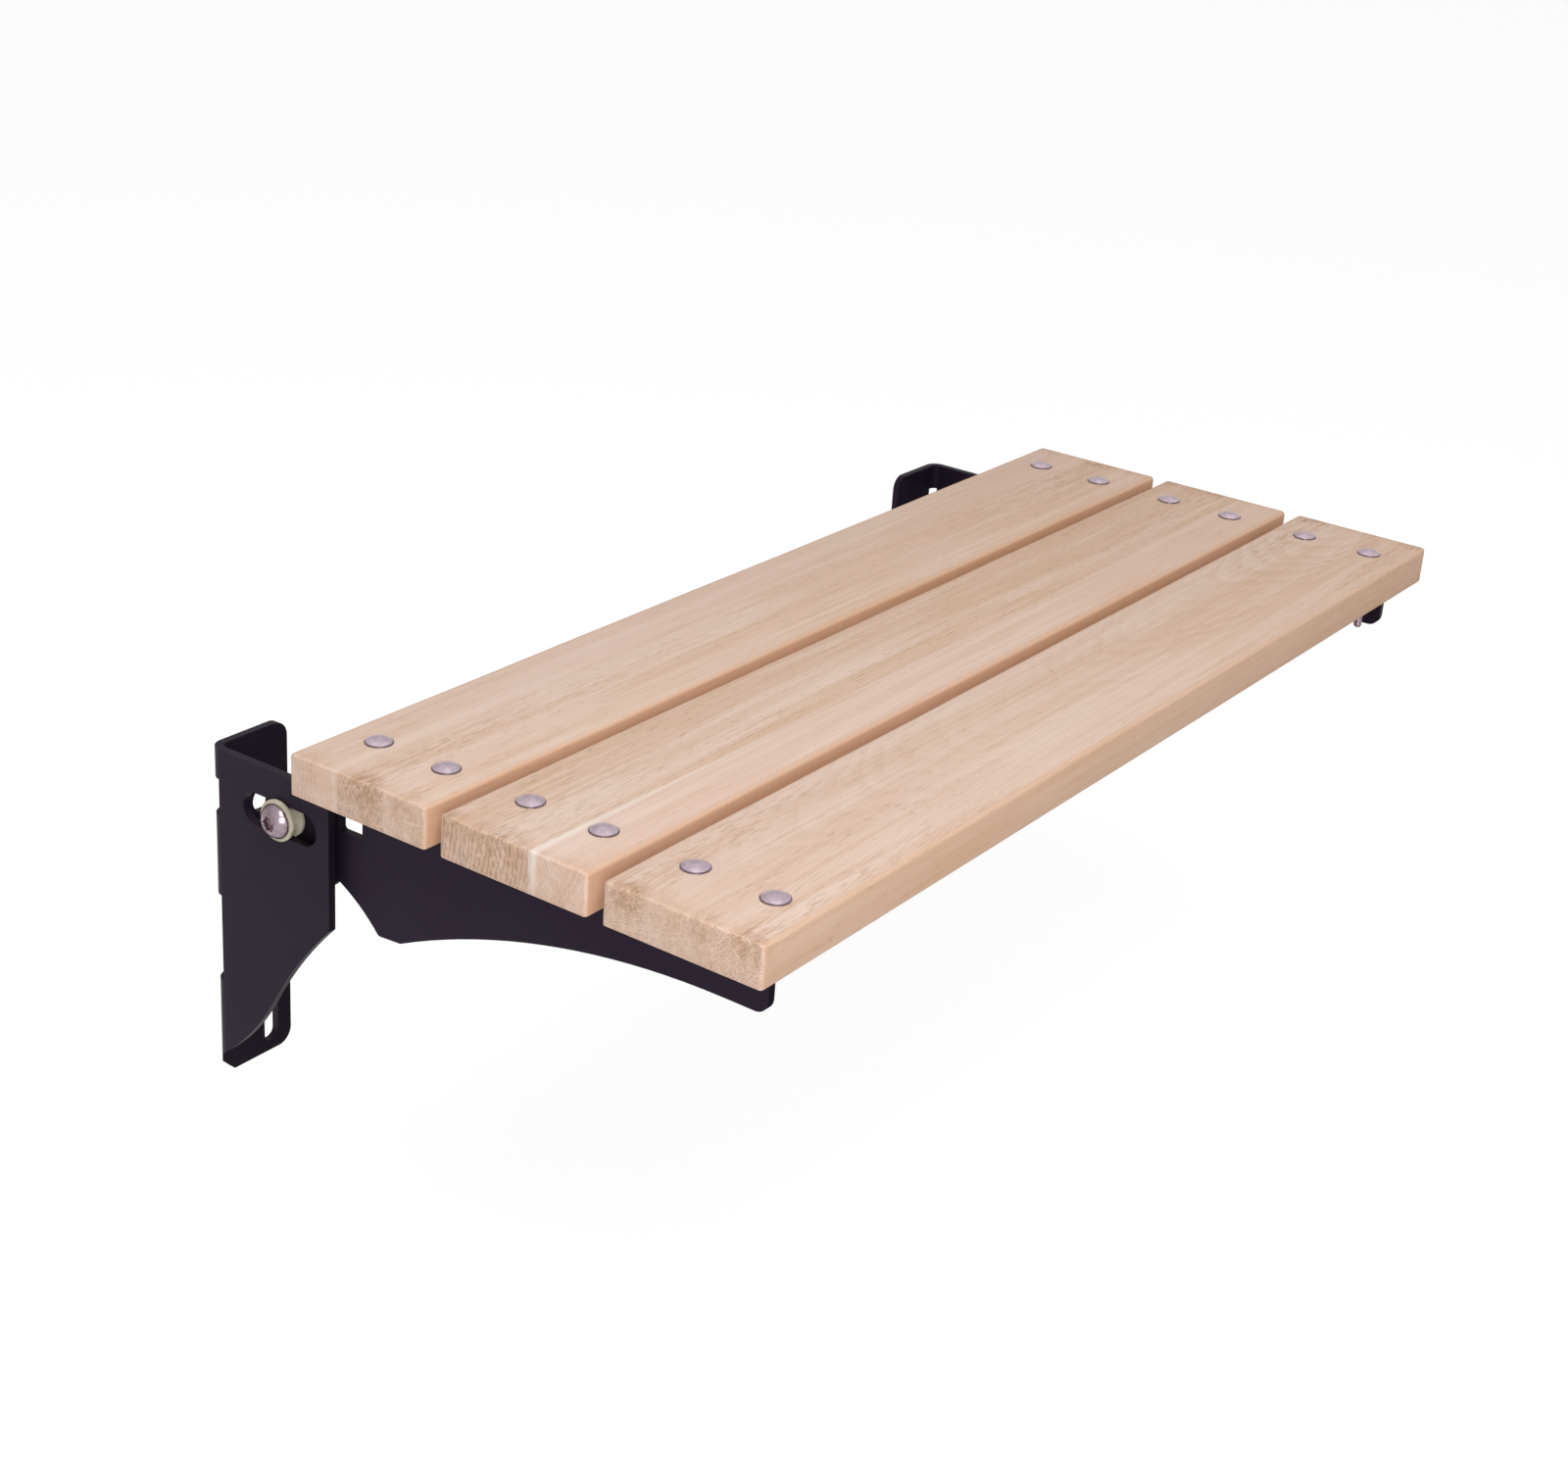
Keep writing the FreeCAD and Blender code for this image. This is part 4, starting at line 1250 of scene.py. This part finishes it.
@dataclass
class Studio:
    """The white floor, the soft lamps and the camera of the photograph's view.

    Places and lengths are in metres, angles in degrees and the lens in millimetres.
    """

    floor_level: float = -0.3765
    floor_reach: float = 14.0
    floor_rings: int = 12
    floor_sides: int = 96
    rim: float = 3.0
    matt: float = 0.55
    dim: float = 0.24
    glow: float = 0.88
    eye: tuple[float, float, float] = (-1.27810, -1.00907, 0.65388)
    yaw: float = 55.977
    pitch: float = 22.850
    roll: float = 4.129
    lens: float = 58.245
    shift: tuple[float, float] = (-0.0108, -0.0263)
    daylight: float = 0.35
    bright_side: tuple[float, float, float] = (-0.45, -0.45, 0.77)
    facing: tuple[float, float] = (-0.45, 0.75)
    gloss_light: tuple[float, float] = (0.58, 1.0)
    card: tuple[tuple[float, float], tuple[float, float]] = ((-0.42, -1.40), (1.30, -0.12))
    card_lift: float = 0.002
    card_shade: float = 0.02
    lamps: tuple[Lamp, ...] = (
        Lamp("key", (-1.35, -1.40, 2.30), 1.3, 48.5),
        Lamp("fill", (-2.30, -2.10, 0.75), 1.4, 31.0),
    )

    def camera(self) -> None:
        """Sets the camera: its forward axis from yaw and pitch, then a roll about it."""
        yaw, pitch, roll = (math.radians(v) for v in (self.yaw, self.pitch, self.roll))
        ahead = np.array([math.sin(yaw) * math.cos(pitch), math.cos(yaw) * math.cos(pitch), -math.sin(pitch)])
        right = np.cross(ahead, [0.0, 0.0, 1.0])
        right /= np.linalg.norm(right)
        down = np.cross(ahead, right)
        turned_right = math.cos(roll) * right - math.sin(roll) * down
        turned_down = math.sin(roll) * right + math.cos(roll) * down
        lens = bpy.data.cameras.new("view")
        lens.sensor_width = 36.0
        lens.lens = self.lens
        lens.shift_x, lens.shift_y = self.shift
        eye = bpy.data.objects.new("view", lens)
        matrix = np.eye(4)
        matrix[:3, 0], matrix[:3, 1], matrix[:3, 2] = turned_right, -turned_down, -ahead
        matrix[:3, 3] = self.eye
        eye.matrix_world = Matrix(matrix.tolist())
        bpy.context.scene.collection.objects.link(eye)
        bpy.context.scene.camera = eye

    def floor(self) -> None:
        """A round white floor that curves up to a low wall all round, far from the seat.

        Its rings are level out to its reach, and then climb an arc of the rim's radius.
        """
        turn = np.radians(np.linspace(0.0, 80.0, 13))[1:]
        level = np.linspace(0.02, self.floor_reach, self.floor_rings)
        radius = np.concatenate([level, self.floor_reach + self.rim * np.sin(turn)])
        height = np.concatenate([np.zeros(len(level)), self.rim * (1.0 - np.cos(turn))]) + self.floor_level
        rings = circles(radius[:, None] * np.ones(self.floor_sides), height)
        index = np.arange(len(radius) * self.floor_sides).reshape(len(radius), -1)
        quads = np.stack(
            [index[:-1], index[1:], np.roll(index[1:], -1, axis=1), np.roll(index[:-1], -1, axis=1)], axis=-1
        )
        faces = quads.reshape(-1, 4).tolist() + [index[0].tolist()]
        mesh = bpy.data.meshes.new("studio_floor")
        mesh.from_pydata(rings.reshape(-1, 3).tolist(), [], faces)
        mesh.shade_smooth()
        floor = bpy.data.objects.new("studio_floor", mesh)
        floor.data.materials.append(self.paper())
        bpy.context.scene.collection.objects.link(floor)

    def paper(self) -> bpy.types.Material:
        """White paper: a matt surface that shows at its brightest to the eye and in gloss.

        Returns:
            The material.
        """
        g = Graph("white_paper")
        path = g.node("ShaderNodeLightPath")
        seen = Wire(g, path.outputs["Is Camera Ray"])
        for word in ("Is Glossy Ray", "Is Transmission Ray"):
            seen = g.maths("MAXIMUM", seen, path.outputs[word])
        matt = g.node("ShaderNodeBsdfDiffuse", None, {"Color": (self.matt,) * 3})
        dim = g.node("ShaderNodeBsdfDiffuse", None, {"Color": (self.dim,) * 3})
        glow = g.node("ShaderNodeEmission", None, {"Color": (1.0, 1.0, 1.0), "Strength": self.glow})
        bright = g.node("ShaderNodeAddShader", None, {0: dim.outputs[0], 1: glow.outputs[0]})
        mix = g.node("ShaderNodeMixShader", None, {0: seen, 1: matt.outputs[0], 2: bright.outputs[0]})
        g.node("ShaderNodeOutputMaterial", None, {0: mix.outputs[0]})
        return g.owner

    def sky(self) -> None:
        """A white surrounding light, full white to the eye, and a little darker at one side in gloss."""
        g = Graph("studio", world=True)
        bpy.context.scene.world = g.owner
        path = g.node("ShaderNodeLightPath")
        toward = g.node("ShaderNodeTexCoord").outputs["Generated"]
        share = g.vector("DOT_PRODUCT", toward, self.bright_side)
        spread = dict(zip(("From Min", "From Max", "To Min", "To Max"), self.facing + self.gloss_light))
        gloss = g.node("ShaderNodeMapRange", None, {"Value": share, **spread}).outputs["Result"]
        level: bpy.types.NodeSocket | float = self.daylight
        for ray, seen in (("Is Glossy Ray", gloss), ("Is Camera Ray", 1.0)):
            level = g.node("ShaderNodeMix", None, {0: path.outputs[ray], 2: level, 3: seen}).outputs[0]
        light = g.node("ShaderNodeBackground", None, {"Color": (1.0, 1.0, 1.0), "Strength": level})
        g.node("ShaderNodeOutputWorld", None, {0: light.outputs[0]})

    def dark_card(self) -> None:
        """A black card on the floor under the seat, which shows in gloss alone.

        It takes the white floor out of the plates' reflections, so the black steel stays dark.
        """
        (west, south), (east, north) = self.card
        points = [(west, south), (east, south), (east, north), (west, north)]
        mesh = bpy.data.meshes.new("dark_card")
        mesh.from_pydata([(*point, self.floor_level + self.card_lift) for point in points], [], [[0, 1, 2, 3]])
        g = Graph("card_black")
        black = g.node("ShaderNodeBsdfDiffuse", None, {"Color": (self.card_shade,) * 3})
        g.node("ShaderNodeOutputMaterial", None, {0: black.outputs[0]})
        mesh.materials.append(g.owner)
        card = bpy.data.objects.new("dark_card", mesh)
        card.visible_camera = card.visible_diffuse = card.visible_transmission = False
        card.visible_volume_scatter = card.visible_shadow = False
        bpy.context.scene.collection.objects.link(card)

    def build(self) -> None:
        """Sets up the whole studio."""
        bpy.context.scene.view_settings.view_transform = "Standard"
        self.camera()
        self.floor()
        self.dark_card()
        self.sky()
        for lamp in self.lamps:
            lamp.build()


REAR_OAK = OakFinish(
    "oak_of_the_rear_board",
    (
        Stave(-186.0, (60.0, 40.0), (0.020, 0.02), 1.8, 0.08, 0.75, 0.05),
        Stave(-156.0, (70.0, 20.0), (0.010, 0.03), 2.2, 0.12, 1.15, 0.0),
        Stave(-122.0, (40.0, 80.0), (-0.01, 0.03), 2.9, 0.0, 0.30, 0.26),
    ),
    (Stain(-141.0, 16.0, 1.0), Stain(-170.0, 8.0, 0.4), Stain(-100.0, 10.0, 0.25)),
    rear=REARS["rear_slat"],
    seed=1.0,
    streak=1.1,
)
MIDDLE_OAK = OakFinish(
    "oak_of_the_middle_board",
    (
        Stave(-296.0, (-150.0, 115.0), (0.02, -0.03), 3.2, 0.0, 0.45, 0.34),
        Stave(-260.0, (-64.0, 90.0), (0.02, 0.01), 2.9, 0.10, 1.50, 0.0),
    ),
    (Stain(-235.0, 24.0, 0.65), Stain(-203.0, 8.0, 0.55)),
    rear=REARS["middle_slat"],
    seed=2.0,
    streak=1.35,
    glue=0.72,
)
FRONT_OAK = OakFinish(
    "oak_of_the_front_board",
    (
        Stave(-406.0, (-442.0, 42.0), (0.045, 0.095), 2.0, 0.10, 0.80, 0.0),
        Stave(-374.0, (-342.0, -60.0), (0.020, 0.055), 1.7, 0.06, 0.8, 0.04),
    ),
    (Stain(-321.0, 16.0, 1.0), Stain(-366.0, 9.0, 0.5), Stain(-396.0, 12.0, 0.9)),
    rear=REARS["front_slat"],
    seed=3.0,
    streak=0.9,
    # its front face looks into no gap, so it gets no painted bounce light
    gap_bounce=0.0,
)
SATIN_STEEL = Steel(
    "satin_stainless", color=(0.705, 0.562, 0.642), dull=(0.488, 0.380, 0.434), gloss=0.24, marks=0.8
)
DECK_ZINC = Steel(
    "plated_steel", color=(0.500, 0.480, 0.470), dull=(0.340, 0.325, 0.315), gloss=0.30, marks=0.5
)
PIVOT_ZINC = replace(DECK_ZINC, name="plated_pivot_steel", turning=Turning.PIVOTS)
POLISHED_STEEL = Steel(
    "polished_steel",
    color=(0.358, 0.278, 0.312),
    dull=(0.232, 0.175, 0.200),
    gloss=0.19,
    marks=0.3,
    turning=Turning.PIVOTS,
)
NATURAL_NYLON = Nylon("natural_nylon", color=(0.600, 0.555, 0.445), rubbed=(0.450, 0.405, 0.285))


def main() -> None:
    """Builds the studio and the seat."""
    logging.basicConfig(level=logging.INFO, format="%(message)s")
    shop = Workshop()
    oaks = {
        "rear_slat": REAR_OAK.material(),
        "middle_slat": MIDDLE_OAK.material(),
        "front_slat": FRONT_OAK.material(),
    }
    coat = PowderCoat().material()
    satin = SATIN_STEEL.material()
    zinc = DECK_ZINC.material()
    pivot_zinc = PIVOT_ZINC.material()
    polished = POLISHED_STEEL.material()
    natural = NATURAL_NYLON.material()

    Studio().build()
    SlatDeck().build(shop, oaks)
    SlatFixings().build(shop, satin, zinc)
    SteelPlates().build(shop, coat)
    PivotSets().build(shop, {"polished": polished, "plated": pivot_zinc}, natural)
    LOG.info("%d pieces made", shop.made)


if __name__ == "__main__":
    main()
